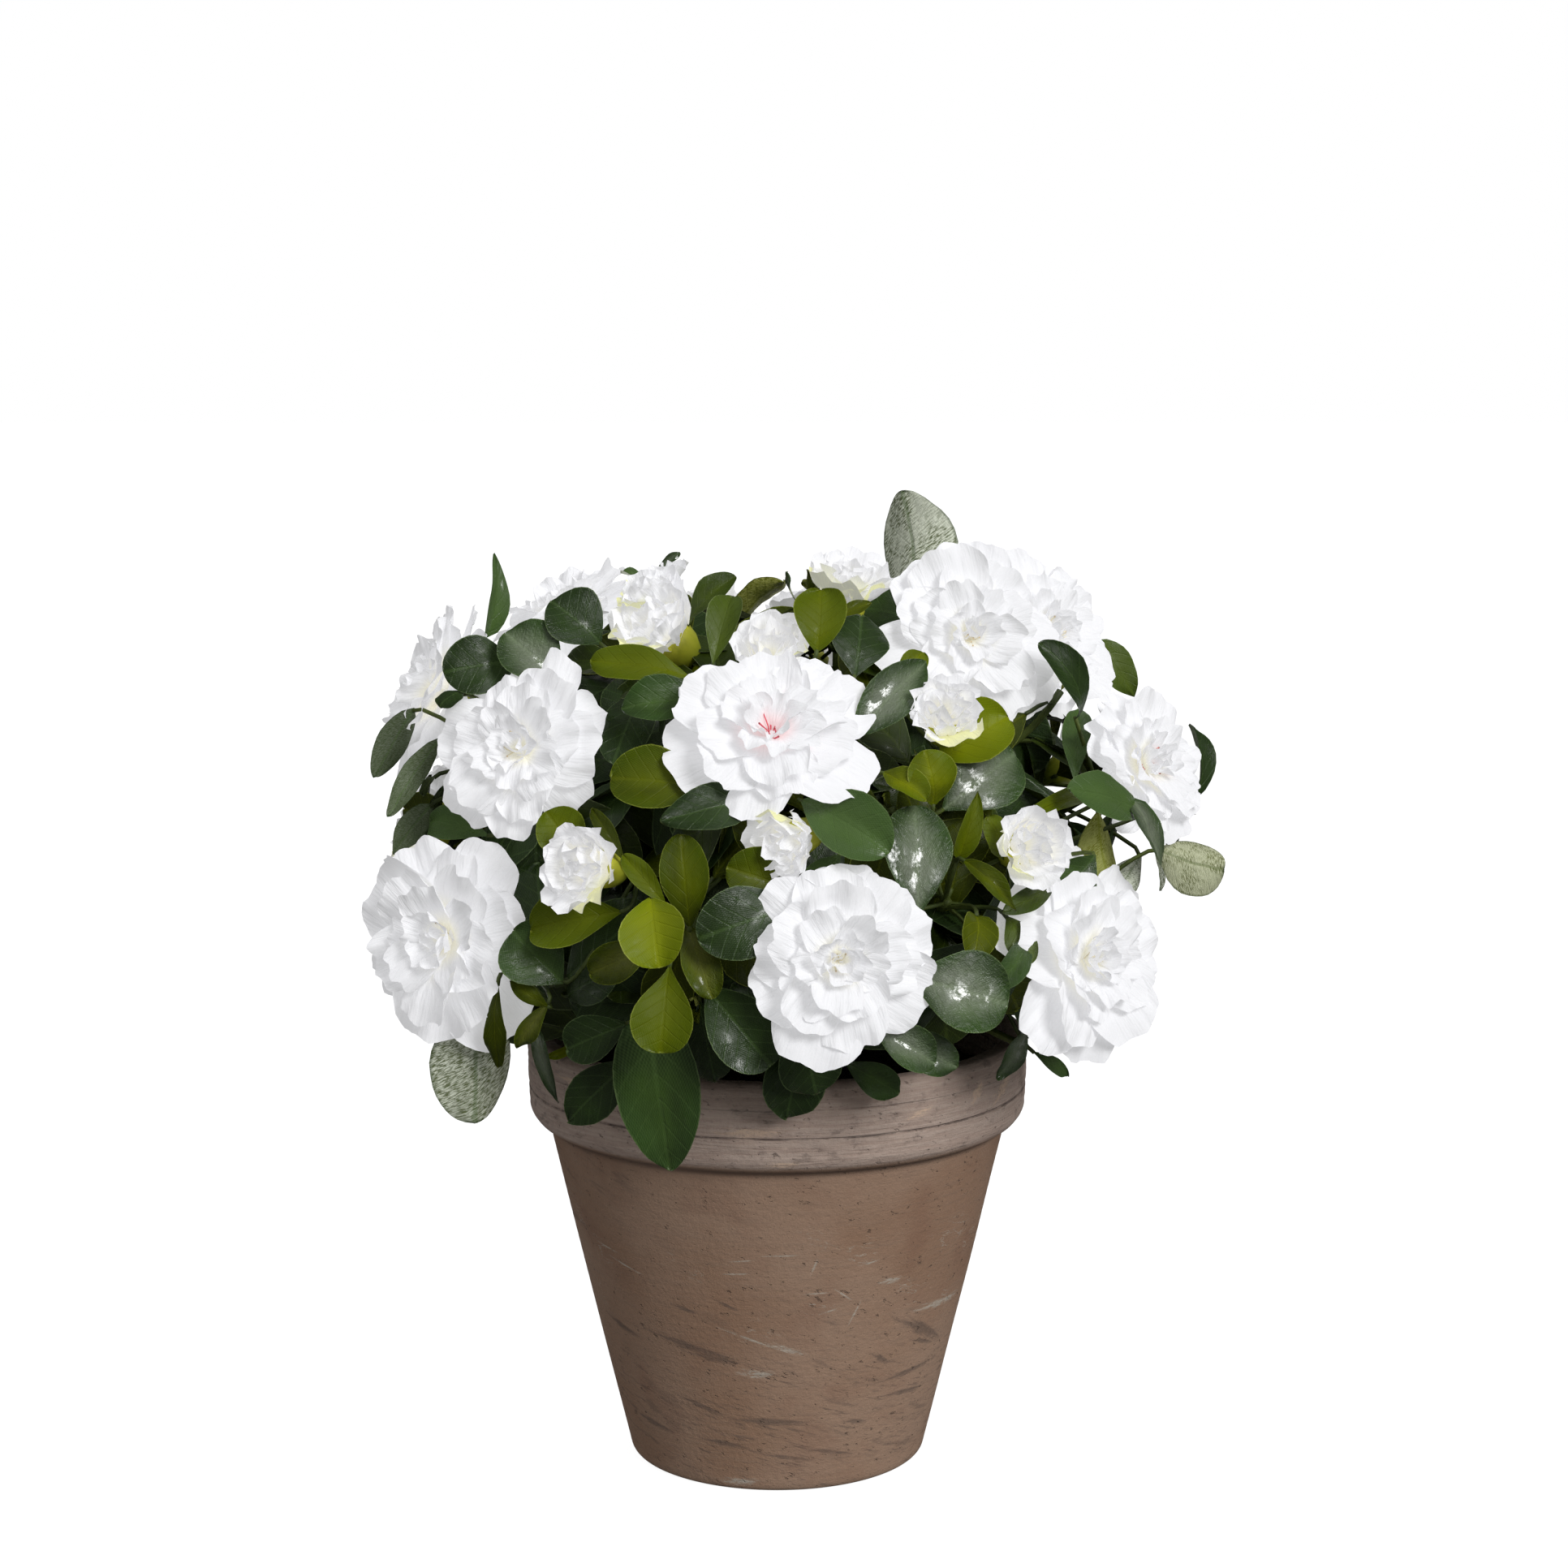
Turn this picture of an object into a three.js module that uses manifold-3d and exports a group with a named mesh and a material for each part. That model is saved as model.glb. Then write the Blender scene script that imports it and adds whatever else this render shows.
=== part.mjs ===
// A potted artificial azalea: a clay pot with a plug of soil, a short stem, one tapering
// bough to each clump, and the clumps of leaf and bloom that make up its domed crown.
// Millimetres, Z up. The origin is the middle of the pot's flat underside, and the side of
// the crown that faces out is towards -Y.
import * as THREE from "three";
import { mergeVertices } from "three/addons/utils/BufferGeometryUtils.js";
import Module from "manifold-3d";

const wasm = await Module();
wasm.setup();

const gap = 0.3; // left between pieces that rest on each other

const pot = {
  height: 100,
  baseRadius: 34, // at the flat underside
  neckRadius: 52.9, // of the body, where the rim begins
  rimRadius: 57.5,
  rimHeight: 21,
  rimOverhang: 1.7, // of the rim's lower edge over the body
  edge: 1.4, // rounding of the pot's edges
  wall: 6,
  floor: 8,
  sides: 48,
};
const soil = { below: 10, clearance: 0.4 }; // its top, below the pot's, and its gap to the wall
const stem = { height: 26, flare: 9.5, foot: 7, waist: 5.6, top: 5, crest: 3.8, sides: 14 };
const bough = {
  base: 1.6,
  tip: 1.1,
  lowest: 7, // height on the stem of the bough to the lowest clump
  highest: 22,
  sag: 0.06, // of its length
  sides: 6,
  steps: 3,
};
const crown = {
  middle: 120, // height of the point that the clumps surround
  hollow: 24, // how near to it they come
  underside: 0.72, // of its girth that a clump keeps downwards
  lumps: 0.06, // of its size
  tipSpread: 0.34, // radians, of the lobe round a leaf that stands out
  seam: 0.7, // the gap between two clumps
  clearance: 0.015, // of its size, round the end of a bough
  facets: 3,
};

// Each clump, from the crown's middle: the way it faces, its furthest reach and its
// half width. turn is 0 towards -Y and 90 towards +X, and rise is above the level.
// tips are leaves that stand out of it, in the same terms.
const clumps = {
  top_right: { turn: 66, rise: 55, reach: 95, girth: 38, tips: [[64, 73, 108], [80, 44, 104]] },
  top_left: { turn: -44, rise: 60, reach: 89, girth: 33, tips: [[-62, 73, 94], [-100, 66, 96]] },
  top_back: { turn: 170, rise: 70, reach: 86, girth: 34, tips: [] },
  front_upper: { turn: 0, rise: 41, reach: 92, girth: 36, tips: [[8, 66, 82]] },
  left_upper: { turn: -48, rise: 34, reach: 93, girth: 35, tips: [] },
  left_side: {
    turn: -94,
    rise: 38,
    reach: 98,
    girth: 36,
    tips: [
      [-88, 55, 107],
      [-88, 41, 102],
      [-84, 20, 101],
    ],
  },
  back_left: { turn: -138, rise: 40, reach: 92, girth: 35, tips: [] },
  back_upper: { turn: 178, rise: 34, reach: 90, girth: 35, tips: [] },
  back_right: { turn: 132, rise: 38, reach: 92, girth: 35, tips: [] },
  right_side: {
    turn: 88,
    rise: 26,
    reach: 99,
    girth: 36,
    tips: [
      [86, 10, 104],
      [90, 28, 104],
      [98, 38, 99],
    ],
  },
  front_right: { turn: 38, rise: 28, reach: 89, girth: 34, tips: [] },
  front_left: { turn: -21, rise: 7, reach: 88, girth: 34, tips: [[-20, -29, 74]] },
  front_low: { turn: 12, rise: 9, reach: 93, girth: 34, tips: [[3, -22, 73]] },
  right_low: { turn: 52, rise: 4, reach: 98, girth: 36, tips: [[62, -17, 80]] },
  right_back_low: { turn: 100, rise: -2, reach: 93, girth: 34, tips: [[104, -18, 80]] },
  back_low_right: { turn: 144, rise: 2, reach: 91, girth: 34, tips: [[148, -25, 80]] },
  back_low_left: { turn: -172, rise: 2, reach: 91, girth: 34, tips: [[-170, -25, 80]] },
  left_back_low: { turn: -130, rise: 2, reach: 92, girth: 34, tips: [[-126, -24, 82]] },
  left_low_side: { turn: -92, rise: -2, reach: 95, girth: 33, tips: [[-96, -22, 86]] },
  left_low: { turn: -54, rise: 6, reach: 98, girth: 35, tips: [[-60, -25, 84]] },
};

const finishes = {
  clay: new THREE.MeshStandardMaterial({ color: 0x7d6858, roughness: 0.9, metalness: 0 }),
  soil: new THREE.MeshStandardMaterial({ color: 0x1d150f, roughness: 1, metalness: 0 }),
  stem: new THREE.MeshStandardMaterial({ color: 0x4a4a26, roughness: 0.6, metalness: 0 }),
  foliage: new THREE.MeshStandardMaterial({ color: 0x35511d, roughness: 0.5, metalness: 0 }),
};

const soilTop = pot.height - soil.below;
const middle = new THREE.Vector3(0, 0, crown.middle);

// --- solids and geometry ---

function solidOf(geometry) {
  const bare = geometry.clone();
  for (const name of Object.keys(bare.attributes)) {
    if (name !== "position") bare.deleteAttribute(name);
  }
  const merged = mergeVertices(bare, 1e-4);
  return new wasm.Manifold(
    new wasm.Mesh({
      numProp: 3,
      vertProperties: new Float32Array(merged.attributes.position.array),
      triVerts: new Uint32Array(merged.index.array),
    }),
  );
}

function geometryOf(solid) {
  const mesh = solid.getMesh();
  const geometry = new THREE.BufferGeometry();
  geometry.setAttribute("position", new THREE.BufferAttribute(mesh.vertProperties, 3));
  geometry.setIndex(new THREE.BufferAttribute(mesh.triVerts, 1));
  return geometry;
}

// What is left of a solid once others are cut from it, without any loose crumb.
function largestLeft(solid, ...cutters) {
  const left = cutters.reduce((kept, cutter) => kept.subtract(cutter), solid);
  const pieces = left.decompose();
  return pieces.reduce((a, b) => (b.volume() > a.volume() ? b : a));
}

function turned(profile, sides) {
  const points = profile.map(([radius, height]) => new THREE.Vector2(radius, height));
  return new THREE.LatheGeometry(points, sides).rotateX(Math.PI / 2);
}

function aim(turn, rise) {
  const [t, r] = [turn, rise].map(THREE.MathUtils.degToRad);
  return new THREE.Vector3(Math.sin(t) * Math.cos(r), -Math.cos(t) * Math.cos(r), Math.sin(r));
}

// --- the pot and what fills it ---

function bodyRadius(height) {
  const slope = (pot.neckRadius - pot.baseRadius) / (pot.height - pot.rimHeight);
  return pot.baseRadius + slope * height;
}

function makePot() {
  const lip = pot.height - pot.rimHeight;
  const lipRadius = pot.neckRadius + pot.rimOverhang;
  const inner = (height) => bodyRadius(height) - pot.wall;
  return turned(
    [
      [0, 0],
      [pot.baseRadius - pot.edge, 0],
      [bodyRadius(pot.edge), pot.edge],
      [bodyRadius(lip), lip],
      [lipRadius, lip],
      [lipRadius + pot.edge, lip + pot.edge],
      [pot.rimRadius - 0.4, lip + pot.rimHeight / 2],
      [pot.rimRadius, pot.height - 2 * pot.edge],
      [pot.rimRadius - pot.edge, pot.height],
      [inner(pot.height) + pot.edge / 2, pot.height],
      [inner(pot.height - pot.edge), pot.height - pot.edge],
      [inner(pot.floor), pot.floor],
      [0, pot.floor],
    ],
    pot.sides,
  );
}

function makeSoil() {
  const radius = (height) => bodyRadius(height) - pot.wall - soil.clearance;
  const bottom = pot.floor + gap;
  return turned(
    [
      [0, bottom],
      [radius(bottom), bottom],
      [radius(soilTop), soilTop],
      [0, soilTop],
    ],
    pot.sides,
  );
}

// The room that the pot and the soil take, grown by a margin, for cutting the clumps.
function potRoom(margin) {
  return turned(
    [
      [0, 0],
      [pot.baseRadius + margin, 0],
      [bodyRadius(pot.height - pot.rimHeight) + margin, pot.height - pot.rimHeight - margin],
      [pot.rimRadius + margin, pot.height - pot.rimHeight - margin],
      [pot.rimRadius + margin, pot.height + margin],
      [bodyRadius(pot.height) - pot.wall - margin, pot.height + margin],
      [bodyRadius(soilTop) - pot.wall - margin, soilTop + margin],
      [0, soilTop + margin],
    ],
    pot.sides,
  );
}

// --- the stem and the boughs ---

function stemProfile(margin) {
  const foot = soilTop + gap - margin;
  const head = soilTop + gap + stem.height + margin;
  return [
    [0, foot],
    [stem.flare + margin, foot],
    [stem.foot + margin, soilTop + stem.height / 5],
    [stem.waist + margin, soilTop + stem.height / 2],
    [stem.top + margin, head - stem.height / 8],
    [stem.crest + margin, head],
    [0, head],
  ];
}

// A bough leaves the stem higher up, the higher its clump sits, and ends in its inner third.
function boughCurve(clump) {
  const rises = Object.values(clumps).map((spec) => spec.rise);
  const [least, most] = [Math.min(...rises), Math.max(...rises)];
  const level = THREE.MathUtils.mapLinear(clump.rise, least, most, bough.lowest, bough.highest);
  const start = new THREE.Vector3(0, 0, soilTop + level);
  const depth = crown.hollow + (clump.reach - crown.hollow) / 3;
  const end = clump.facing.clone().multiplyScalar(depth).add(middle);
  const bend = start.clone().lerp(end, 0.5);
  bend.z -= bough.sag * start.distanceTo(end);
  return new THREE.QuadraticBezierCurve3(start, bend, end);
}

function makeLimb(curve) {
  const geometry = new THREE.CylinderGeometry(bough.tip, bough.base, 1, bough.sides, bough.steps);
  const frames = curve.computeFrenetFrames(bough.steps, false);
  const position = geometry.attributes.position;
  const point = new THREE.Vector3();
  for (let i = 0; i < position.count; i += 1) {
    const step = Math.round((position.getY(i) + 0.5) * bough.steps);
    point.copy(curve.getPointAt(step / bough.steps));
    point.addScaledVector(frames.normals[step], position.getX(i));
    point.addScaledVector(frames.binormals[step], -position.getZ(i));
    position.setXYZ(i, point.x, point.y, point.z);
  }
  return geometry;
}

// --- the clumps ---

function placeClumps() {
  return Object.entries(clumps).map(([name, spec], index) => {
    const facing = aim(spec.turn, spec.rise);
    const centre = facing.clone().multiplyScalar((spec.reach + crown.hollow) / 2).add(middle);
    const tips = spec.tips.map(([turn, rise, reach]) =>
      aim(turn, rise).multiplyScalar(reach).add(middle),
    );
    return { ...spec, name, index, facing, centre, tips };
  });
}

// The distance from a clump's centre to its surface along a way, before neighbours cut it.
function lumpyReach(clump, way) {
  const along = way.dot(clump.facing);
  const across = Math.sqrt(Math.max(0, 1 - along * along));
  const half = (clump.reach - crown.hollow) / 2;
  const sag = 1 - (1 - crown.underside) * Math.max(0, -way.z);
  const oval = sag / Math.hypot(along / half, across / clump.girth);
  return oval * (1 + crown.lumps * lumpsAt(way, clump.index));
}

// Waves over a ball, from -2 to 2, that differ from clump to clump.
function lumpsAt(way, index) {
  const [a, b, c] = [2.4, 4.1, 5.5].map((step) => step * index);
  const sideways = Math.sin(5 * way.x + a) * Math.sin(6 * way.y + b);
  const upwards = Math.sin(7 * way.z + c) * Math.cos(4 * way.x - a);
  return sideways + upwards;
}

// How far a way may run from one clump's centre before it meets the plane halfway to another.
function roomBefore(clump, others, way) {
  let room = Infinity;
  for (const other of others) {
    const towards = other.centre.clone().sub(clump.centre);
    const half = towards.length() / 2 - crown.seam / 2;
    const speed = way.dot(towards.normalize());
    if (speed > 1e-6) room = Math.min(room, half / speed);
  }
  return room;
}

function makeClump(clump, all) {
  const others = all.filter((other) => other !== clump);
  const ball = new THREE.IcosahedronGeometry(1, crown.facets);
  for (const name of ["normal", "uv"]) ball.deleteAttribute(name);
  const geometry = mergeVertices(ball, 1e-4);
  const position = geometry.attributes.position;
  const ways = Array.from({ length: position.count }, (_, i) =>
    new THREE.Vector3().fromBufferAttribute(position, i).normalize(),
  );
  const reaches = ways.map((way) => lumpyReach(clump, way));
  for (const tip of clump.tips) {
    const towards = tip.clone().sub(clump.centre);
    const reach = towards.length();
    towards.normalize();
    const nearness = ways.map((way) => way.dot(towards));
    const nearest = nearness.indexOf(Math.max(...nearness));
    ways.forEach((way, i) => {
      const share = Math.exp(-((way.angleTo(towards) / crown.tipSpread) ** 2));
      reaches[i] += Math.max(0, reach - reaches[i]) * share;
    });
    ways[nearest] = towards;
    reaches[nearest] = reach;
  }
  ways.forEach((way, i) => {
    const reach = Math.min(reaches[i], roomBefore(clump, others, way));
    const point = way.clone().multiplyScalar(reach).add(clump.centre);
    position.setXYZ(i, point.x, point.y, point.z);
  });
  return geometry;
}

// --- assembly ---

const plant = new THREE.Group();

function add(name, geometry, finish) {
  const mesh = new THREE.Mesh(geometry, finishes[finish]);
  mesh.name = name;
  plant.add(mesh);
}

add("pot", makePot(), "clay");
add("soil_plug", makeSoil(), "soil");
add("stem", turned(stemProfile(0), stem.sides), "stem");

const placed = placeClumps();
const shapes = placed.map((clump) => makeClump(clump, placed));
const potCutter = solidOf(potRoom(2 * gap));
const stemCutter = solidOf(turned(stemProfile(gap), stem.sides));
const clumpCutters = shapes.map((shape, i) => {
  const { x, y, z } = placed[i].centre;
  const grown = shape.clone().translate(-x, -y, -z);
  const size = 1 + crown.clearance;
  return solidOf(grown.scale(size, size, size).translate(x, y, z));
});

placed.forEach((clump, i) => {
  const limb = largestLeft(solidOf(makeLimb(boughCurve(clump))), stemCutter, ...clumpCutters);
  const mass = largestLeft(solidOf(shapes[i]), potCutter, stemCutter);
  add(`bough_${clump.name}`, geometryOf(limb), "stem");
  add(`foliage_${clump.name}`, geometryOf(mass), "foliage");
});

export default plant;
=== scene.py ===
import math
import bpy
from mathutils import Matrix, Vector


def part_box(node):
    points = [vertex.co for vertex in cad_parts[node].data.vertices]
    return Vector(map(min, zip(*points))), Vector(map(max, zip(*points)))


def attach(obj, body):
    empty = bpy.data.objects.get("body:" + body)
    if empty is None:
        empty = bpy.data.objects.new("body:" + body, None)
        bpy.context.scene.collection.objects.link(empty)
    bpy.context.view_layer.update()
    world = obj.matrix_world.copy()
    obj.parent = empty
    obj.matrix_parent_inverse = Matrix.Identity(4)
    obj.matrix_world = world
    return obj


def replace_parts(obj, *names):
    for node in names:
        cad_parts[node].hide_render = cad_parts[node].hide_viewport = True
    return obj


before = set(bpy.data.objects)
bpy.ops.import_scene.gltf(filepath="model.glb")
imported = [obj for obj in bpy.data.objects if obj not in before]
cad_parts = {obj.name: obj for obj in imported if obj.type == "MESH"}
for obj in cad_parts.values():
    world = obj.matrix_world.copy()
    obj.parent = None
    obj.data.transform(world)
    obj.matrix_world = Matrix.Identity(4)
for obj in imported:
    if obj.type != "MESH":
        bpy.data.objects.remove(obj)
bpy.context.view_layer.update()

from types import SimpleNamespace

import bpy
import numpy as np
from mathutils import Vector
from mathutils.bvhtree import BVHTree

mm = 0.001  # everything below is in mm, and turns to metres when a mesh is made


def aim(turn, rise):  # turn is 0 towards -Y and 90 towards +X, rise is above the level
    t, r = math.radians(turn), math.radians(rise)
    return np.array([math.sin(t) * math.cos(r), -math.cos(t) * math.cos(r), math.sin(r)])


def unit(vector):
    return vector / np.linalg.norm(vector)


def axesOf(along, facing):  # rows: across, along, up out of the face
    along = unit(along)
    up = unit(facing - along * np.dot(facing, along))
    return np.array([np.cross(along, up), along, up])


def waves(rng, points, size, octaves=3):  # smooth uneven waves of about that size, -1 to 1
    total = 0
    for octave in range(octaves):
        for _ in range(3):
            way = unit(rng.normal(size=points.shape[-1])) * math.tau / size * 2**octave
            total = total + np.sin(points @ way + rng.uniform(0, math.tau)) / 2**octave
    return total / 3


def gridFaces(rows, columns, flip=False):
    corner = np.arange(rows * columns).reshape(rows, columns)
    sides = [corner[:-1, :-1], corner[:-1, 1:], corner[1:, 1:], corner[1:, :-1]]
    quads = np.stack(sides, -1).reshape(-1, 4)
    # Turned over, a face is still split along the same diagonal.
    return quads[:, [0, 3, 2, 1]] if flip else quads


class Sheaf:  # gathers many small patches, and makes one joined mesh of them
    def __init__(self, name, slot, look):
        self.name, self.slot, self.look = name, slot, look
        self.points, self.quads, self.uvs, self.count = [], [], [], 0

    def add(self, points, quads, uvs):
        points, uvs = points.reshape(-1, 3), uvs.reshape(-1, 2)
        self.points.append(points)
        self.quads.append(quads + self.count)
        self.uvs.append(uvs)
        self.count += len(points)

    def build(self):
        points, quads = np.concatenate(self.points) * mm, np.concatenate(self.quads)
        mesh = bpy.data.meshes.new(self.name)
        mesh.vertices.add(len(points))
        mesh.vertices.foreach_set("co", points.astype(np.float32).ravel())
        mesh.loops.add(quads.size)
        mesh.loops.foreach_set("vertex_index", quads.astype(np.int32).ravel())
        mesh.polygons.add(len(quads))
        mesh.polygons.foreach_set("loop_start", np.arange(0, quads.size, 4, dtype=np.int32))
        layer = mesh.uv_layers.new(name="OFBake")
        uvs = np.concatenate(self.uvs)[quads.ravel()]
        layer.uv.foreach_set("vector", uvs.astype(np.float32).ravel())
        mesh.update(calc_edges=True)
        mesh.validate()
        mesh.shade_smooth()
        mesh.materials.append(self.look)
        piece = bpy.data.objects.new(self.name, mesh)
        bpy.context.scene.collection.objects.link(piece)
        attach(piece, "root")
        print(f"{self.name}: {2 * len(quads)} triangles")
        return piece


# Shader building. A Knob is one socket, and sums and products of knobs add the Math nodes they need.
class Knob:
    def __init__(self, look, socket):
        self.look, self.socket = look, socket

    def maths(self, operation, *values):
        return self.look.add("Math", {"operation": operation}, dict(enumerate(values)))

    def __add__(self, other):
        return self.maths("ADD", self, other)

    def __mul__(self, other):
        return self.maths("MULTIPLY", self, other)

    def __sub__(self, other):
        return self.maths("SUBTRACT", self, other)

    def __pow__(self, other):
        return self.maths("POWER", self, other)

    def __rsub__(self, other):
        return self.maths("SUBTRACT", other, self)

    __radd__, __rmul__ = __add__, __mul__

    def sine(self):
        return self.maths("SINE", self)

    def floor(self):
        return self.maths("FLOOR", self)

    def size(self):
        return self.maths("ABSOLUTE", self)

    def most(self, other):
        return self.maths("MAXIMUM", self, other)

    def step(self, low, high):  # 0 below low, 1 above high, and smooth between them
        limits = {"From Min": low, "From Max": high}
        return self.look.add("MapRange", {"interpolation_type": "SMOOTHSTEP"}, {"Value": self, **limits})


class Look:  # one procedural material
    def __init__(self, owner):
        self.owner = bpy.data.materials.new(owner) if isinstance(owner, str) else owner
        self.owner.use_nodes = True
        self.tree = self.owner.node_tree
        self.tree.nodes.clear()

    def add(self, kind, settings=None, sockets=None, out=0):
        node = self.tree.nodes.new("ShaderNode" + kind)
        for name, value in (settings or {}).items():
            setattr(node, name, value)
        for name, value in (sockets or {}).items():
            if isinstance(value, Knob):
                self.tree.links.new(value.socket, node.inputs[name])
            else:
                node.inputs[name].default_value = value
        return Knob(self, node.outputs[out])

    def split(self, vector):
        parts = self.add("SeparateXYZ", {}, {0: vector})
        outputs = parts.socket.node.outputs
        return [Knob(self, outputs[i]) for i in range(3)]

    def join(self, x, y, z=0.0):
        return self.add("CombineXYZ", {}, {0: x, 1: y, 2: z})

    def noise(self, vector, scale, detail=2.0, roughness=0.5):
        sockets = {"Vector": vector, "Scale": scale, "Detail": detail, "Roughness": roughness}
        return self.add("TexNoise", {}, sockets)

    def mix(self, share, first, second):  # 0 and 6, 7 are the Mix node's factor and its two colours
        return self.add("Mix", {"data_type": "RGBA"}, {0: share, 6: first, 7: second}, out=2)

    def finish(self, colour, roughness, height=None, bump=None, **fixed):
        sockets = {"Base Color": colour, "Roughness": roughness}
        if height:
            sockets["Normal"] = self.add("Bump", {}, {"Height": height, **bump})
        fixed = {name.replace("_", " "): value for name, value in fixed.items()}
        surface = self.add("BsdfPrincipled", {}, {**sockets, **fixed})
        self.close(surface, "OutputMaterial")
        return self.owner

    def close(self, surface, kind):
        output = self.tree.nodes.new("ShaderNode" + kind)
        self.tree.links.new(surface.socket, output.inputs["Surface"])


def linear(screen):  # one part of a colour, from its screen value of 0 to 255
    part = screen / 255
    return part / 12.92 if screen < 11 else ((part + 0.055) / 1.055) ** 2.4


def rgb(red, green, blue):
    return (linear(red), linear(green), linear(blue), 1.0)


# Leaves and petals are laid out on shared tiles, which stand side by side. The two faces of a leaf lie one
# over the other.
tiles = 4
tileInset = 0.03


def tileUv(s, t, tile, sides=1, side=0):
    u = (tile + 0.5 + (0.5 - tileInset) * t) / tiles
    v = (side + tileInset + (1 - 2 * tileInset) * s) / sides
    return np.stack([u, v], -1)


def tileKnobs(look, sides=1):  # across -1 to 1, along 0 to 1, the tile, and the side
    u, v, _ = look.split(look.add("UVMap", {"uv_map": "OFBake"}))
    wide, tall = u * tiles, v * sides
    tile, side = wide.floor(), tall.floor()
    across = (wide - tile - 0.5) * (1 / (0.5 - tileInset))
    along = (tall - side - tileInset) * (1 / (1 - 2 * tileInset))
    return across, along, tile, side


def onTiles(tile, *numbers):  # for each of these tiles, 1 on it and 0 elsewhere
    return [1 - (tile - number).size().step(0.2, 0.6) for number in numbers]


def outline(s, widest, base, tip):  # half width along a leaf or petal, 1 at its widest
    lean = math.log(0.5) / math.log(widest)
    bulge = np.sin(np.pi * np.clip(s, 0.0002, 0.9998) ** lean)
    return bulge ** np.where(s < widest, base, tip)


def leafSheet(rng, form, rows, columns):  # widest in the middle, and drawn in to the tip
    s, t = np.sin(np.linspace(0, math.pi / 2, rows)), np.linspace(-1, 1, columns)
    rise, cross = np.meshgrid(s, t, indexing="ij")
    half = form["width"] / 2 * outline(s, form["widest"], form["base"], form["tip"])
    half = half * (1 + form["fray"] * rng.uniform(-1, 1, rows))
    x = half[:, None] * cross
    height = form["cup"] * half[:, None] * cross**2 + form["fold"] * np.abs(x)
    return curl(rng, form, x, form["length"] * rise, height, rise, cross), rise, cross


def petalSheet(rng, form, rows, columns):  # a narrow claw that fans out to a broad rounded edge
    rise, cross = np.meshgrid(np.linspace(0, 1, rows) ** 0.9, np.linspace(-1, 1, columns), indexing="ij")
    spread = np.sin(np.pi / 2 * rise ** form["claw"])
    x = form["width"] / 2 * spread * cross * (1 - 0.14 * np.abs(cross) ** 6)
    phase = rng.uniform(0, math.tau)
    reach = 1 - form["shoulder"] * np.abs(cross) ** form["round"]
    reach = reach + form["notch"] * np.cos(form["lobes"] * math.pi * cross + phase) * rise**4
    y = form["length"] * rise * reach + form["rag"] * rise**12 * rng.uniform(-1, 1, columns)
    height = form["cup"] * form["width"] / 2 * (spread * cross) ** 2
    frill = np.sin(cross * form["width"] * 0.9 + phase * 3) * np.cos(cross * 3.1 + phase)
    height = height + form["frill"] * frill * rise**5
    return curl(rng, form, x, y, height, rise, cross), rise, cross


def curl(rng, form, x, y, height, rise, cross):
    # Ruffles a flat sheet, twists it, and bends it along its length. x is across, y along and z up.
    phase = rng.uniform(0, math.tau, 2)
    ripple = np.sin(np.pi * form["ripples"] * cross + phase[0] + 1.5 * rise)
    height = height + form["ruffle"] * ripple * rise**2.5
    beat = math.tau * form["edgeWaves"] * rise + phase[1] + 2.2 * (cross > 0)
    height = height + form["edgeRuffle"] * np.sin(beat) * np.abs(cross) ** 3 * rise
    height = height + form["crumple"] * waves(rng, np.stack([x, y], -1), form["crumpleSize"])
    turn = math.radians(form["twist"]) * rise
    across = x * np.cos(turn) - height * np.sin(turn)
    height = x * np.sin(turn) + height * np.cos(turn)
    length, (start, end) = form["length"], form["bend"]
    marks = np.linspace(-0.1, 1.2, 60)
    angles = np.radians(start + (end - start) * np.clip(marks, 0, 1.2) ** form["late"])
    run = np.cumsum(np.cos(angles)) * length * (marks[1] - marks[0])
    climb = np.cumsum(np.sin(angles)) * length * (marks[1] - marks[0])
    run, climb = (line - np.interp(0, marks, line) for line in (run, climb))
    angle, out, up = (np.interp(y / length, marks, line) for line in (angles, run, climb))
    return np.stack([across, out - np.sin(angle) * height, up + np.cos(angle) * height], -1)


def gridNormals(points):
    normals = np.cross(np.gradient(points, axis=1), np.gradient(points, axis=0))
    return normals / (np.linalg.norm(normals, axis=-1, keepdims=True) + 1e-9)


def place(points, base, axes):
    return base + points @ axes


def addRings(sheaf, rings, tile=0, rises=None, flip=False):  # rows of points, each closed on itself
    rows, columns = rings.shape[:2]
    rises = np.linspace(0, 1, rows) if rises is None else rises
    rise, cross = np.meshgrid(rises, np.linspace(-1, 1, columns), indexing="ij")
    sheaf.add(rings, gridFaces(rows, columns, flip), tileUv(rise, cross, tile))


def tube(sheaf, path, radii, sides, tile=0):  # drawn in to a point at both ends
    path, radii = np.asarray(path, float), np.broadcast_to(radii, len(path)).astype(float)
    path = np.concatenate([path[:1], path, path[-1:]])
    radii = np.concatenate([[0.01], radii, [0.01]])
    ways = np.gradient(path, axis=0)
    ways[0], ways[-1] = ways[1], ways[-2]
    side = unit(np.cross(ways[0], [0.31, 0.27, 0.91]))
    rings = []
    for point, way, radius in zip(path, ways, radii):
        way = unit(way)
        side = unit(side - way * np.dot(side, way))
        other = np.cross(way, side)
        turns = np.linspace(0, math.tau, sides + 1)[:, None]
        rings.append(point + radius * (np.cos(turns) * side + np.sin(turns) * other))
    addRings(sheaf, np.array(rings), tile)


def bezier(a, b, c, d, count):
    k = np.linspace(0, 1, count)[:, None]
    return (1 - k) ** 3 * a + 3 * (1 - k) ** 2 * k * b + 3 * (1 - k) * k**2 * c + k**3 * d


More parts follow.
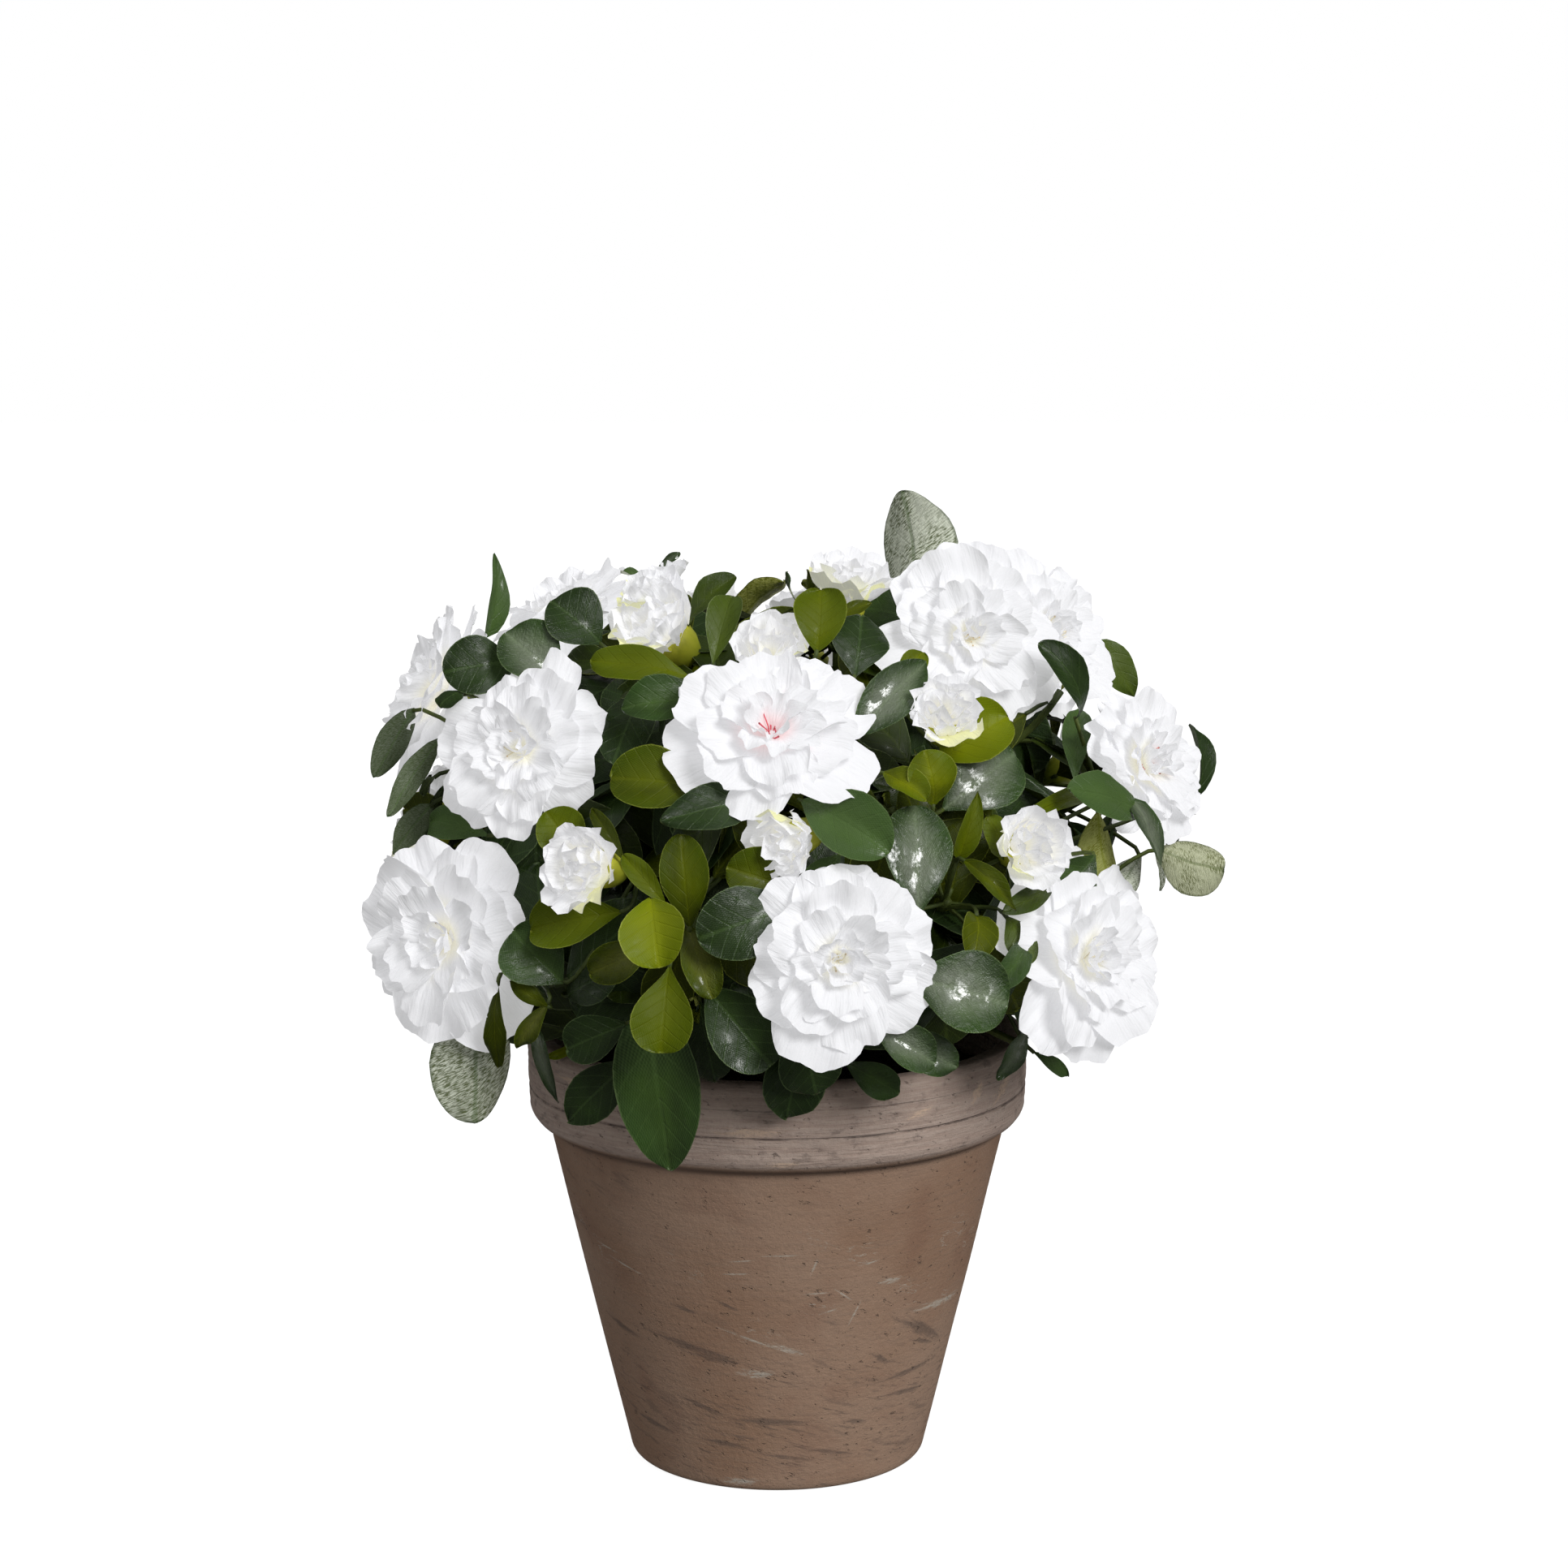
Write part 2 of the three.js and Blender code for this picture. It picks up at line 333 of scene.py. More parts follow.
# Where things are, from the frame
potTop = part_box("pot")[1].z / mm
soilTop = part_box("soil_plug")[1].z / mm
crownMiddle = np.array([0, 0, potTop + 20])
farOut = 200  # well outside the crown
massNode, boughNode = "foliage_", "bough_"
massNames = [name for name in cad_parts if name.startswith(massNode)]
camera = {"at": (1.55, -817, 287.3), "pitch": -9.09, "lens": 83.26}


def nodePoints(name):
    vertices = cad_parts[name].data.vertices
    points = np.empty(len(vertices) * 3)
    vertices.foreach_get("co", points)
    return points.reshape(-1, 3) / mm


def boughTip(mass):  # the end of a clump's bough, and the way it points
    points = nodePoints(boughNode + mass)
    far = np.linalg.norm(points - [0, 0, soilTop + 10], axis=1)
    tip = points[far > far.max() - 2].mean(axis=0)
    root = points[far < far.min() + 2].mean(axis=0)
    return tip, unit(tip - root), root


def massTree():
    points, faces, owners, count = [], [], [], 0
    for name in massNames:
        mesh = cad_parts[name].data
        points += [v.co / mm for v in mesh.vertices]
        faces += [[count + i for i in p.vertices] for p in mesh.polygons]
        owners += [name.removeprefix(massNode)] * len(mesh.polygons)
        count += len(mesh.vertices)
    return BVHTree.FromPolygons(points, faces), owners


crownTree, faceOwners = massTree()


def surfaceAlong(point):  # how far out the clumps reach towards that point
    way = unit(point - crownMiddle)
    hit, *_ = crownTree.ray_cast(Vector(crownMiddle + way * farOut), Vector(-way))
    return np.linalg.norm(np.array(hit) - crownMiddle) if hit else 60


def crownAt(turn, rise):  # how far out the clumps reach that way, and which of them does
    way = aim(turn, rise)
    hit, _, face, _ = crownTree.ray_cast(Vector(crownMiddle + way * farOut), Vector(-way))
    return (np.linalg.norm(np.array(hit) - crownMiddle), faceOwners[face]) if hit else (80, None)


# Heads of the shoots. place is (turn, rise, mm out from the crown's middle), face is (turn, rise) of the way
# that a head looks, and spin turns it.
blooms = {
    "topRight": dict(mass="top_right", place=(63, 57, 88), face=(14, 24), spin=8, size=1.0, heart=1),
    "centre": dict(mass="front_upper", place=(-1, 42, 89), face=(2, 46), spin=20, size=1.03, heart=2),
    "leftUpper": dict(mass="left_upper", place=(-50.3, 35.5, 89), face=(-20, 24), spin=0, size=0.95,
        heart=1),
    "leftLower": dict(mass="left_low", place=(-55.5, 6.9, 89), face=(-36, 6), spin=30, size=1.11, heart=1),
    "bottomCentre": dict(mass="front_low", place=(8.6, 9, 89), face=(6, 10), spin=12, size=0.96, heart=1),
    "rightLower": dict(mass="right_low", place=(52, 5, 87), face=(42, 16), spin=5, size=1.05, heart=1),
    "rightMid": dict(mass="right_side", place=(80.2, 27.2, 95.3), face=(50, 28), spin=0, size=0.9, heart=3),
    "farRightTop": dict(mass="right_side", place=(99, 48, 95), face=(50, 28), spin=0, size=0.95, heart=1),
    "leftFar": dict(mass="left_side", place=(-92, 36.6, 99.2), face=(-76, 28), spin=0, size=0.95, heart=1),
    "topLeftBack": dict(mass="top_left", place=(-104, 56, 91), face=(-70, 62), spin=0, size=0.95, heart=1),
    "backTop": dict(mass="top_back", place=(168, 52, 84), face=(170, 50), spin=0, size=0.98, heart=2),
    "backUpper": dict(mass="back_upper", place=(176, 27, 89), face=(178, 30), spin=40, size=1.05, heart=1),
    "backLeft": dict(mass="back_left", place=(-136, 38, 90), face=(-145, 26), spin=15, size=1.0, heart=3),
    "backRight": dict(mass="back_right", place=(133, 38, 90), face=(140, 34), spin=55, size=1.0, heart=1),
    "backLowRight": dict(mass="back_low_right", place=(146, 4, 89), face=(150, 8), spin=25, size=1.04,
        heart=1),
    "backLowLeft": dict(mass="back_low_left", place=(-162, 0, 89), face=(-160, 12), spin=70, size=0.97,
        heart=1),
    "leftBackLow": dict(mass="left_back_low", place=(-126, 4, 90), face=(-122, 12), spin=33, size=1.02,
        heart=3),
    "rightBackLow": dict(mass="right_back_low", place=(124, 2, 84), face=(126, 14), spin=48, size=1.0,
        heart=1),
}
buds = {  # lime is the clock of the side where the outer petals are lime
    "topLeft": dict(mass="top_left", place=(-47, 64, 86), face=(-42, 40), size=1.25, lime=215, twin=True),
    "centreTop": dict(mass="front_upper", place=(-2, 61, 84), face=(-4, 46), size=0.95, lime=160),
    "topCentreRight": dict(mass="top_right", place=(50, 76, 88), face=(30, 70), size=1.1, lime=200),
    "rightCentre": dict(mass="front_right", place=(31.8, 42.5, 92), face=(2, 42), size=0.93, lime=165),
    "leftLow": dict(mass="front_left", place=(-29, 20, 90), face=(-40, 10), size=1.0, lime=110),
    "centreLow": dict(mass="front_upper", place=(1, 25, 86), face=(-38, -8), size=0.9, lime=320),
    "rightLow": dict(mass="front_right", place=(41, 22.2, 90), face=(22, 20), size=1.06, lime=250),
    "backMiddle": dict(mass="back_upper", place=(-160, 22, 88), face=(-160, 26), size=1.0),
    "backLeftLow": dict(mass="back_left", place=(-130, 18, 88), face=(-130, 20), size=1.1),
    "leftSide": dict(mass="left_low_side", place=(-104, 16, 90), face=(-100, 24), size=1.0, twin=True),
    "rightSide": dict(mass="back_right", place=(114, 26, 90), face=(112, 30), size=0.95),
    "backHigh": dict(mass="top_back", place=(-158, 58, 86), face=(-150, 62), size=1.0),
    "backRightHigh": dict(mass="back_right", place=(138, 62, 86), face=(130, 60), size=0.9),
}
whorls = {  # leafy shoots without a bloom
    "oliveLeft": dict(mass="front_left", place=(-14, 18, 80), face=(-12, 24), kind="olive"),
    "limeRight": dict(mass="front_right", place=(24, 34, 78), face=(18, 40), kind="olive"),
    "tallRight": dict(mass="front_right", place=(31, 18, 78), face=(20, 34), kind="olive"),
    "darkBottom": dict(mass="front_left", place=(-15, 0, 70), face=(-16, -10), kind="deep"),
    "darkTop": dict(mass="top_left", place=(-18, 58, 76), face=(-8, 54), kind="mid"),
    "darkUpper": dict(mass="left_upper", place=(-31, 44, 74), face=(-24, 40), kind="deep"),
    "bottomRight": dict(mass="right_low", place=(34, -1, 74), face=(34, 0), kind="deep"),
}


def leafSpec(kind, width, foot, end, top, **other):
    return {"kind": kind, "width": width, "foot": foot, "end": end, "top": top, **other}


# Leaves that show at the crown's face and edge, one by one: kind, width in mm, foot and end as (turn, rise,
# out), the (turn, rise) that the upper side looks to, and what differs from leafForm.
# A leaf's tile sets its look: 0 with painted shade, 1 plain, 2 with painted light, 3 creased with a painted
# sheen.
setLeaves = {
    "shoulderLeft": leafSpec("deep", 13.5, (-62, 47, 93), (-63, 40, 105), (-12, 24), tile=0),
    "shoulderFolded": leafSpec("deep", 14.5, (-54, 48, 87), (-60, 48, 101), (-10, 34), fold=0.2, cup=0.15,
        crumple=0.35, tile=3),
    "besideTopBud": leafSpec("deep", 14.5, (-52, 56, 87), (-58, 55, 100), (-12, 40), tip=0.6, tile=0),
    "underDark": leafSpec("mid", 7.9, (-47, 57, 80), (-66, 52, 86), (-12, 42), tile=0),
    "greenUnderBud": leafSpec("olive", 9.4, (-21, 53, 84), (-42, 50, 92), (-5, 37), bend=(24, -26), tile=2),
    "darkLeftOfCentre": leafSpec("deep", 10.7, (-14, 50, 82), (-30, 44, 90), (-3, 34), tip=0.7, tile=1),
    "shadeLeftOfCentre": leafSpec("deep", 11.6, (-44, 57, 74), (-33, 39, 82), (-8, 36), tile=0),
    "shadeHigh": leafSpec("deep", 10.8, (-72, 60, 70), (-60, 48, 78), (-15, 43), tile=0),
    "oliveRound": leafSpec("olive", 14.6, (-12, 34, 82), (-27, 33, 90), (-3, 28), tile=1),
    "darkOverOlive": leafSpec("deep", 10.8, (-3, 32, 84), (-16, 27, 93), (1, 26), bend=(14, -22), tip=0.75,
        widest=0.5),
    "leftOne": leafSpec("deep", 7.3, (-84, 34, 99), (-81, 24, 100), (-174, 8), tip=0.7, base=0.6,
        widest=0.5, tile=0),
    "leftTwo": leafSpec("deep", 5.7, (-68, 33, 95), (-67, 21, 99), (-174, 7), tip=0.6, base=0.6, widest=0.5,
        tile=0),
    "leftTiny": leafSpec("mid", 2.7, (-75, 28, 89), (-72, 25, 91), (-26, 31)),
    "leftThree": leafSpec("deep", 6.5, (-75, 24, 87), (-72, 16, 93), (-174, 6), tip=0.9, base=0.6,
        widest=0.45, tile=0),
    "betweenLeftBlooms": leafSpec("deep", 8.6, (-58, 23, 80), (-72, 22, 88), (-23, 28), crumple=0.4),
    "spike": leafSpec("deep", 6.2, (-83, 47, 97), (-86, 55, 109), (60, 5), twist=30, tip=1.0, widest=0.36,
        crumple=0.15),
    "smallBehindLeft": leafSpec("deep", 7, (-62, 39, 99), (-61, 36, 103), (-29, 41), tile=0),
    "topSliver": leafSpec("deep", 3.7, (-105, 70, 86), (-101, 67, 92), (-60, 70)),
    "topPoint": leafSpec("deep", 2.6, (-105, 70, 87), (-108, 75, 92), (60, 60)),
    "topMidA": leafSpec("mid", 7.1, (-41, 69, 82), (-23, 74, 90), (0, 46), bend=(20, -24)),
    "topMidB": leafSpec("mid", 7.7, (-17, 56, 84), (-15, 66, 92), (2, 40), fold=0.25),
    "crestThin": leafSpec("deep", 2.0, (21, 79, 80), (5, 79, 88), (-70, 20)),
    "crestSmall": leafSpec("olive", 3.3, (126, 84, 80), (89, 85, 86), (14, 53)),
    "limeRoundTop": leafSpec("olive", 11.6, (11, 58, 85), (14, 65, 94), (10, 41), bend=(20, -26), tile=2,
        tip=0.45, base=0.6),
    "limeUnderBud": leafSpec("lime", 3.6, (30, 72, 80), (44, 70, 86), (15, 45)),
    "darkBehindLime": leafSpec("deep", 14.1, (22, 56, 80), (30, 65, 87), (14, 40), tile=0),
    "glossDiagonal": leafSpec("deep", 10.7, (15, 42, 84), (32, 50, 93), (14, 33), crumple=0.3, tile=3,
        tip=0.7, widest=0.5),
    "limeOverBud": leafSpec("lime", 5.9, (31, 52, 82), (37, 54, 89), (18, 36)),
    "limeCradle": leafSpec("lime", 14, (34, 39, 79), (44, 40, 92), (19, 31), cup=0.4, tile=2),
    "limeFacing": leafSpec("lime", 10.9, (27, 30, 84), (25, 36, 92), (16, 28), tile=1),
    "limeLeftFacing": leafSpec("lime", 7.1, (19, 36, 84), (23, 30, 91), (14, 27), tile=1),
    "roundGloss": leafSpec("deep", 16.2, (32, 31, 77), (47, 36, 86.5), (21, 29), crumple=0.25, tile=3),
    "curlOverPetal": leafSpec("deep", 8, (73, 38, 88), (64, 48, 99), (32, 36), bend=(40, -50), twist=25,
        tile=0),
    "greyBesideCurl": leafSpec("deep", 6.9, (73, 30, 80), (84, 39, 88), (-10, 10)),
    "farRight": leafSpec("mid", 9, (107, 41, 102), (105, 32, 102), (10, 25), tip=0.9, widest=0.45, tile=2),
    "loop": leafSpec("deep", 9, (98, 17, 101), (100, 26, 110), (60, 0), bend=(36, -42), twist=0),
    "underRightMid": leafSpec("deep", 10.9, (69, 22, 92), (51, 28, 94), (31, 26)),
    "twistRight": leafSpec("deep", 10.5, (66, 25, 93), (65, 12, 95), (34, 24), twist=60, bend=(26, -26),
        tip=0.9, widest=0.45),
    "rightPale": leafSpec("mid", 13.5, (78, 16, 90), (80, 11, 103), (-155, -20), tile=2),
    "paleBehind": leafSpec("lime", 10, (66, 25, 85), (66, 14, 82), (-160, -25), tile=2),
    "darkBehindPale": leafSpec("deep", 7.3, (83, 15, 86), (80, 10, 79), (174, 6)),
    "crinkledGloss": leafSpec("deep", 14.8, (21, 14, 84), (22, 28, 93), (14, 22), crumple=0.35,
        crumpleSize=12, bend=(-2, -40), tile=3, tip=0.45),
    "limeUpright": leafSpec("olive", 5.1, (30, 22, 82), (33, 30, 90), (18, 25), fold=0.5, tip=0.95,
        widest=0.42),
    "oliveBesideUpright": leafSpec("olive", 6.9, (41, 21, 80), (36, 27, 86), (21, 24)),
    "oliveLong": leafSpec("olive", 4.8, (30, 22, 84), (35, 14, 90), (19, 21), fold=0.3, tip=0.95,
        widest=0.5),
    "oliveUnderBud": leafSpec("mid", 5.2, (49, 16, 82), (36, 14, 86), (24, 20)),
    "oliveAboveBud": leafSpec("olive", 4.3, (76, 27, 78), (45, 27, 86), (31, 27), bend=(34, -34)),
    "limeLow": leafSpec("lime", 8.2, (32, 14, 82), (28, 7, 88), (18, 18), fold=0.3, tip=0.9, widest=0.45),
    "oliveLow": leafSpec("mid", 7.6, (40, 13, 78), (40, 6, 84), (23, 18)),
    "darkSquare": leafSpec("deep", 12, (57, 19, 87), (49, 13, 79), (28, 21), tile=1),
    "smallDarkRight": leafSpec("deep", 6.9, (43, 9, 80), (33, 4, 87), (22, 16)),
    "bigRight": leafSpec("deep", 17.9, (19, 6, 84), (31, 2, 93), (16, 15), crumple=0.35, bend=(16, -24),
        tile=3),
    "lowRightA": leafSpec("deep", 9.5, (14, -1, 82), (22, -6, 88), (13, 12), crumple=0.3, tile=3),
    "lowRightB": leafSpec("deep", 8.9, (17, -3, 78), (27, -8, 84), (15, 11), crumple=0.5, tile=3),
    "rimRight": leafSpec("deep", 7.6, (13, -12, 65), (23, -17, 70), (13, 7)),
    "rightFootDark": leafSpec("deep", 5.7, (51, -8, 71), (44, -16, 72), (27, 8), twist=20, tip=0.9),
    "rightFootThin": leafSpec("deep", 3.6, (67, -18, 65), (72, -21, 74), (37, 5), tip=0.9),
    "budBackOlive": leafSpec("olive", 10.9, (-33, 22, 82), (-37, 27, 90), (-10, 25), bend=(22, -16)),
    "budNarrow": leafSpec("olive", 3.7, (-24, 22, 84), (-29, 28, 90), (-6, 25), fold=0.3),
    "oliveNarrow": leafSpec("olive", 5.0, (-16, 16, 86), (-22, 22, 91), (-3, 22), fold=0.2),
    "oliveUp": leafSpec("olive", 10.4, (-13, 13, 82), (-14, 25, 90), (-1, 22), tile=1),
    "oliveLit": leafSpec("lime", 14.0, (-18, 17, 88), (-15, 8, 94), (-2, 19), bend=(26, -22), tip=0.42,
        tile=2),
    "oliveWide": leafSpec("olive", 12, (-25, 15, 79), (-38, 11, 86), (-8, 20), tile=2),
    "oliveDown": leafSpec("olive", 13.1, (-15, 8, 86), (-15, -3, 92), (-2, 14), bend=(22, -18), tile=2,
        tip=0.42, widest=0.66),
    "oliveDim": leafSpec("olive", 8.8, (-19, 10, 80), (-27, 6, 86), (-6, 17)),
    "oliveRightDim": leafSpec("olive", 8.1, (-14, 14, 80), (-9, 4, 86), (0, 17)),
    "darkLit": leafSpec("deep", 15.4, (4, 17, 82), (-10, 12, 90), (3, 19), crumple=0.35, tile=0),
    "oliveBehindDark": leafSpec("olive", 12.5, (4, 19, 76), (-7, 22, 84), (4, 22)),
    "oliveHighDark": leafSpec("olive", 6.5, (-4, 25, 74), (-6, 31, 82), (3, 25)),
    "underCentre": leafSpec("deep", 14.4, (4, 32, 84), (15, 23, 94), (9, 25), crumple=0.3, tile=2),
    "besideCentreBud": leafSpec("deep", 6.7, (11, 25, 77), (4, 18, 83), (8, 22)),
    "hangBig": leafSpec("deep", 18.5, (-20, 1, 79), (-19, -26, 78), (-4, 8), bend=(10, -6), crumple=0.6,
        tip=0.62, widest=0.45, base=0.6, tile=1),
    "hangBehind": leafSpec("deep", 9.7, (-14, 1, 68), (-12, -16, 66), (-1, 10), tile=0, tip=0.7),
    "leftLowRound": leafSpec("deep", 14.7, (-35, 3, 79), (-41, 10, 86), (-12, 17), tile=1),
    "hangPale": leafSpec("deep", 18.5, (-52, -2, 82), (-55, -20, 86), (-160, -14), bend=(4, -8), tip=0.42,
        base=0.5, widest=0.55, tile=1),
    "oliveNextPale": leafSpec("olive", 5.2, (-46, 2, 83), (-47, -11, 84), (-16, 13)),
    "oliveTwistA": leafSpec("olive", 4.1, (-37, -1, 80), (-41, 3, 86), (-13, 15), tip=0.9),
    "oliveTwistB": leafSpec("olive", 4.8, (-37, 0, 80), (-42, -7, 84), (-13, 12), twist=50, tip=0.9),
    "thinRim": leafSpec("deep", 3.9, (-49, -8, 70), (-45, -21, 73), (-17, 7), tip=1.0, widest=0.4),
    "darkRim": leafSpec("deep", 11.1, (-27, -11, 71), (-37, -20, 80), (-10, 7), tip=0.8, widest=0.5,
        tile=0),
    "darkLowA": leafSpec("deep", 10.3, (-25, -3, 74), (-34, -7, 80), (-9, 11), tile=0),
    "darkLowB": leafSpec("deep", 14.5, (-11, 5, 80), (-1, -6, 84), (2, 13), tile=0),
    "rimGreen": leafSpec("deep", 13.8, (4, -4, 68), (2, -22, 69), (6, 7), tip=0.8, widest=0.5),
    "rimDark": leafSpec("deep", 14.0, (3, 0, 74), (7, -15, 73), (7, 10), tip=0.6, tile=0),
    "darkShade": leafSpec("deep", 10.4, (-40, -1, 70), (-27, 6, 76), (-10, 15), tile=0),
    "crest": leafSpec("deep", 20.5, (92, 68, 82), (108, 73, 106.5), (150, 25), tip=0.58, widest=0.52,
        base=0.55, crumple=0.3, tile=2),
}

leafForm = {  # mm and degrees
    "widest": 0.6, "base": 0.8, "tip": 0.5, "fray": 0.012, "fold": 0.1, "cup": 0.12, "late": 0.9, "twist": 0,
    "edgeRuffle": 0.5, "edgeWaves": 1.6, "ruffle": 0.25, "ripples": 2, "crumple": 0.25, "crumpleSize": 13,
}
leafKinds = {
    "deep": {"length": (25, 31), "width": (14.5, 18)},
    "mid": {"length": (23, 29), "width": (13, 16.5)},
    "olive": {"length": (18, 24), "width": (11, 13.5)},
    "lime": {"length": (15, 20), "width": (9.5, 12)},
}
leafGrid = (15, 9)  # points along a leaf and across it
leafThickness = 0.3
stalkForm = {"radius": 0.5, "sides": 5, "points": 9, "shoots": 300, "every": 4}  # shoots: how many are tried
leafRoom = {  # degrees and mm
    "tries": 8, "dip": 8, "aside": 12,  # how often a leaf moves, and by how much
    "proud": 3, "underSet": -10,  # how far it may stand out of the clumps, and out under the set leaves
    "abovePot": 1.5, "hangOver": 0.5, "hangOut": 59,  # its room over the pot, and where it hangs down outside
    "dimWithin": 7,  # leaves this far inside the crown get painted shade in their colour
}
zones = []  # the heads that leaves keep clear of: where, which way, how wide and how deep
bloomZone = {"radius": 23.5, "depth": 6.5}
budZone = {"radius": 9, "depth": 9}
zoneForm = {"slope": 0.8, "height": 14}  # how steeply a zone widens, and how far it reaches out in mm
# Openings between the leaves, as the view sees them: half width, and how far past place they go, in mm.
gaps = {
    "sky": {"place": (90, 16, 84), "radius": 3.6, "past": 200},
    "skyBelow": {"place": (90, 13, 81), "radius": 2.6, "past": 200},
    "hollow": {"place": (56, 34, 86), "radius": 5.5, "past": 26},
}


def inHeads(points):
    for head, face, radius, depth in zones:
        away = points - head
        high = away @ face
        wide = np.linalg.norm(away - high[:, None] * face, axis=1)
        floor = depth * (zoneForm["slope"] * wide / radius - 1)
        if ((wide < radius) & (high > floor) & (high < zoneForm["height"])).any():
            return True
    return False


def inGaps(points):
    for gap in gaps.values():
        turn, rise, out = gap["place"]
        middle = crownMiddle + aim(turn, rise) * out
        way = unit(middle - camera["at"])
        away = points - middle
        past = away @ way
        wide = np.linalg.norm(away - past[:, None] * way, axis=1)
        if ((wide < gap["radius"]) & (past < gap["past"])).any():
            return True
    return False


def blocked(points, proud, hangs):
    points = points.reshape(-1, 3)
    if inHeads(points) or inGaps(points):
        return True
    reach = np.hypot(points[:, 0], points[:, 1])
    if hangs:
        if ((points[:, 2] < potTop + leafRoom["hangOver"]) & (reach < leafRoom["hangOut"])).any():
            return True
    elif points[:, 2].min() < potTop + leafRoom["abovePot"]:
        return True
    for p in points[:: len(points) // 6]:
        isInFront = p[1] < -abs(p[0]) * 0.25 - 8
        room = leafRoom["underSet"] if isInFront else proud
        if np.linalg.norm(p - crownMiddle) > surfaceAlong(p) + room:
            return True
    return False


def between(rng, low, high):
    return rng.uniform(low, high)


def either(rng, most):  # that much either way
    return rng.uniform(-most, most)


def leafShape(rng, kind, tilt):
    size = leafKinds[kind]
    form = dict(leafForm, length=between(rng, *size["length"]), width=between(rng, *size["width"]))
    form["bend"] = (tilt + between(rng, 8, 22), tilt - between(rng, 12, 34))
    form.update(twist=between(rng, -18, 18), cup=between(rng, -0.2, 0.3), fold=between(rng, 0.0, 0.2))
    form["crumple"] *= between(rng, 0.5, 2.2)
    form["tip"] *= between(rng, 0.85, 1.2)
    form["widest"] += between(rng, -0.05, 0.04)
    return form


def addLeaf(sheaf, rng, surface, rise, cross, tile=None):
    half = leafThickness / 2 * (1 - cross**4) * (1 - (2 * rise - 1) ** 8)
    lift = gridNormals(surface) * half[..., None]
    tile = rng.integers(tiles) if tile is None else tile  # 0 painted shade, 1 plain, 2 painted light, 3 creased with a painted sheen
    for side, offset in enumerate((lift, -lift)):
        sheaf.add(surface + offset, gridFaces(*leafGrid, flip=side == 1), tileUv(rise, cross, tile, 2, side))


def clockWay(face, clock):
    up = unit(np.array([0, 0, 1]) - face * face[2] + 1e-6)
    right = np.cross(up, face)
    c = math.radians(clock)
    return math.cos(c) * up + math.sin(c) * right


def whorlLeaf(rng, root, face, clock, reach, tilt, kind, hangs=False, proud=leafRoom["proud"]):
    # A leaf on a short stalk, which springs from the shoot at root and turns out to that tilt. It dips or
    # moves aside until it is clear of the blooms, and is left out if it never is.
    for attempt in range(leafRoom["tries"]):
        form = leafShape(rng, kind, tilt)
        stalk = max(1.5, reach - form["length"] * math.cos(math.radians(tilt)) * 0.96)
        way = clockWay(face, clock)
        slope = math.radians(tilt + 8)
        start = root + way * stalk * math.cos(slope) + face * stalk * math.sin(slope)
        sideways = np.cross(face, way)
        axes = axesOf(way + sideways * between(rng, -0.16, 0.16), face + sideways * between(rng, -0.25, 0.25))
        surface, rise, cross = leafSheet(rng, form, *leafGrid)
        surface = place(surface, start, axes)
        if not blocked(surface, proud, hangs):
            stalkPath = bezier(root - face, root + way * stalk / 2, start - way * 0.6, start + way * 0.8, 5)
            tube(twigs, stalkPath, stalkForm["radius"], stalkForm["sides"])
            middle = surface.reshape(-1, 3).mean(axis=0)
            within = surfaceAlong(middle) - np.linalg.norm(middle - crownMiddle)
            # Leaves deep inside the crown take tile 0, whose colour has painted shade.
            tile = 0 if within > leafRoom["dimWithin"] else None
            addLeaf(leaves[kind], rng, surface, rise, cross, tile)
            return
        tilt -= leafRoom["dip"]
        clock += between(rng, -1, 1) * leafRoom["aside"] * attempt / 2


def setLeaf(rng, spec):
    foot, end = (crownMiddle + aim(*spec[name][:2]) * spec[name][2] for name in ("foot", "end"))
    span = end - foot
    form = dict(leafForm, length=np.linalg.norm(span) * 1.05, width=spec["width"], bend=(20, -26))
    form.update(cup=between(rng, -0.1, 0.42), fold=between(rng, 0.04, 0.22), twist=between(rng, -12, 12))
    form["crumple"] *= between(rng, 0.9, 2.2)
    form.update({name: spec[name] for name in spec if name in form})
    surface, rise, cross = leafSheet(rng, form, *leafGrid)
    surface = place(surface, foot, axesOf(span, aim(*spec["top"])))
    addLeaf(leaves[spec["kind"]], rng, surface, rise, cross, spec.get("tile"))
    shoots = np.array(shootPoints)
    out = np.linalg.norm(shoots - crownMiddle, axis=1) - np.linalg.norm(foot - crownMiddle)
    apart = np.linalg.norm(shoots - foot, axis=1) + 2 * np.maximum(0, out + 6)
    way = unit(span)
    near = shoots[np.argsort(apart)[: stalkForm["shoots"] : stalkForm["every"]]]
    ends, count = (foot - way * 4, foot + way * 0.8), stalkForm["points"]
    stalks = [bezier(start, start + (foot - start) * 0.4, *ends, count) for start in near]
    clear = (stalk for stalk in stalks if not (inHeads(stalk[:-2]) or inGaps(stalk[:-2])))
    # from the nearest twig whose stalk meets no bloom and no opening
    tube(twigs, next(clear, stalks[0]), stalkForm["radius"], stalkForm["sides"])


# Blooms: rings of ruffled petals round a throat
petalForm = {"claw": 0.8, "shoulder": 0.33, "round": 3.0, "lobes": 2.8, "crumpleSize": 13, "late": 0.8,
             "rag": 0.16, "frill": 0.4}


def ringsOf(columns):  # from one tuple for each measure to one dictionary for each ring
    return [dict(zip(columns, ring)) for ring in zip(*columns.values())]


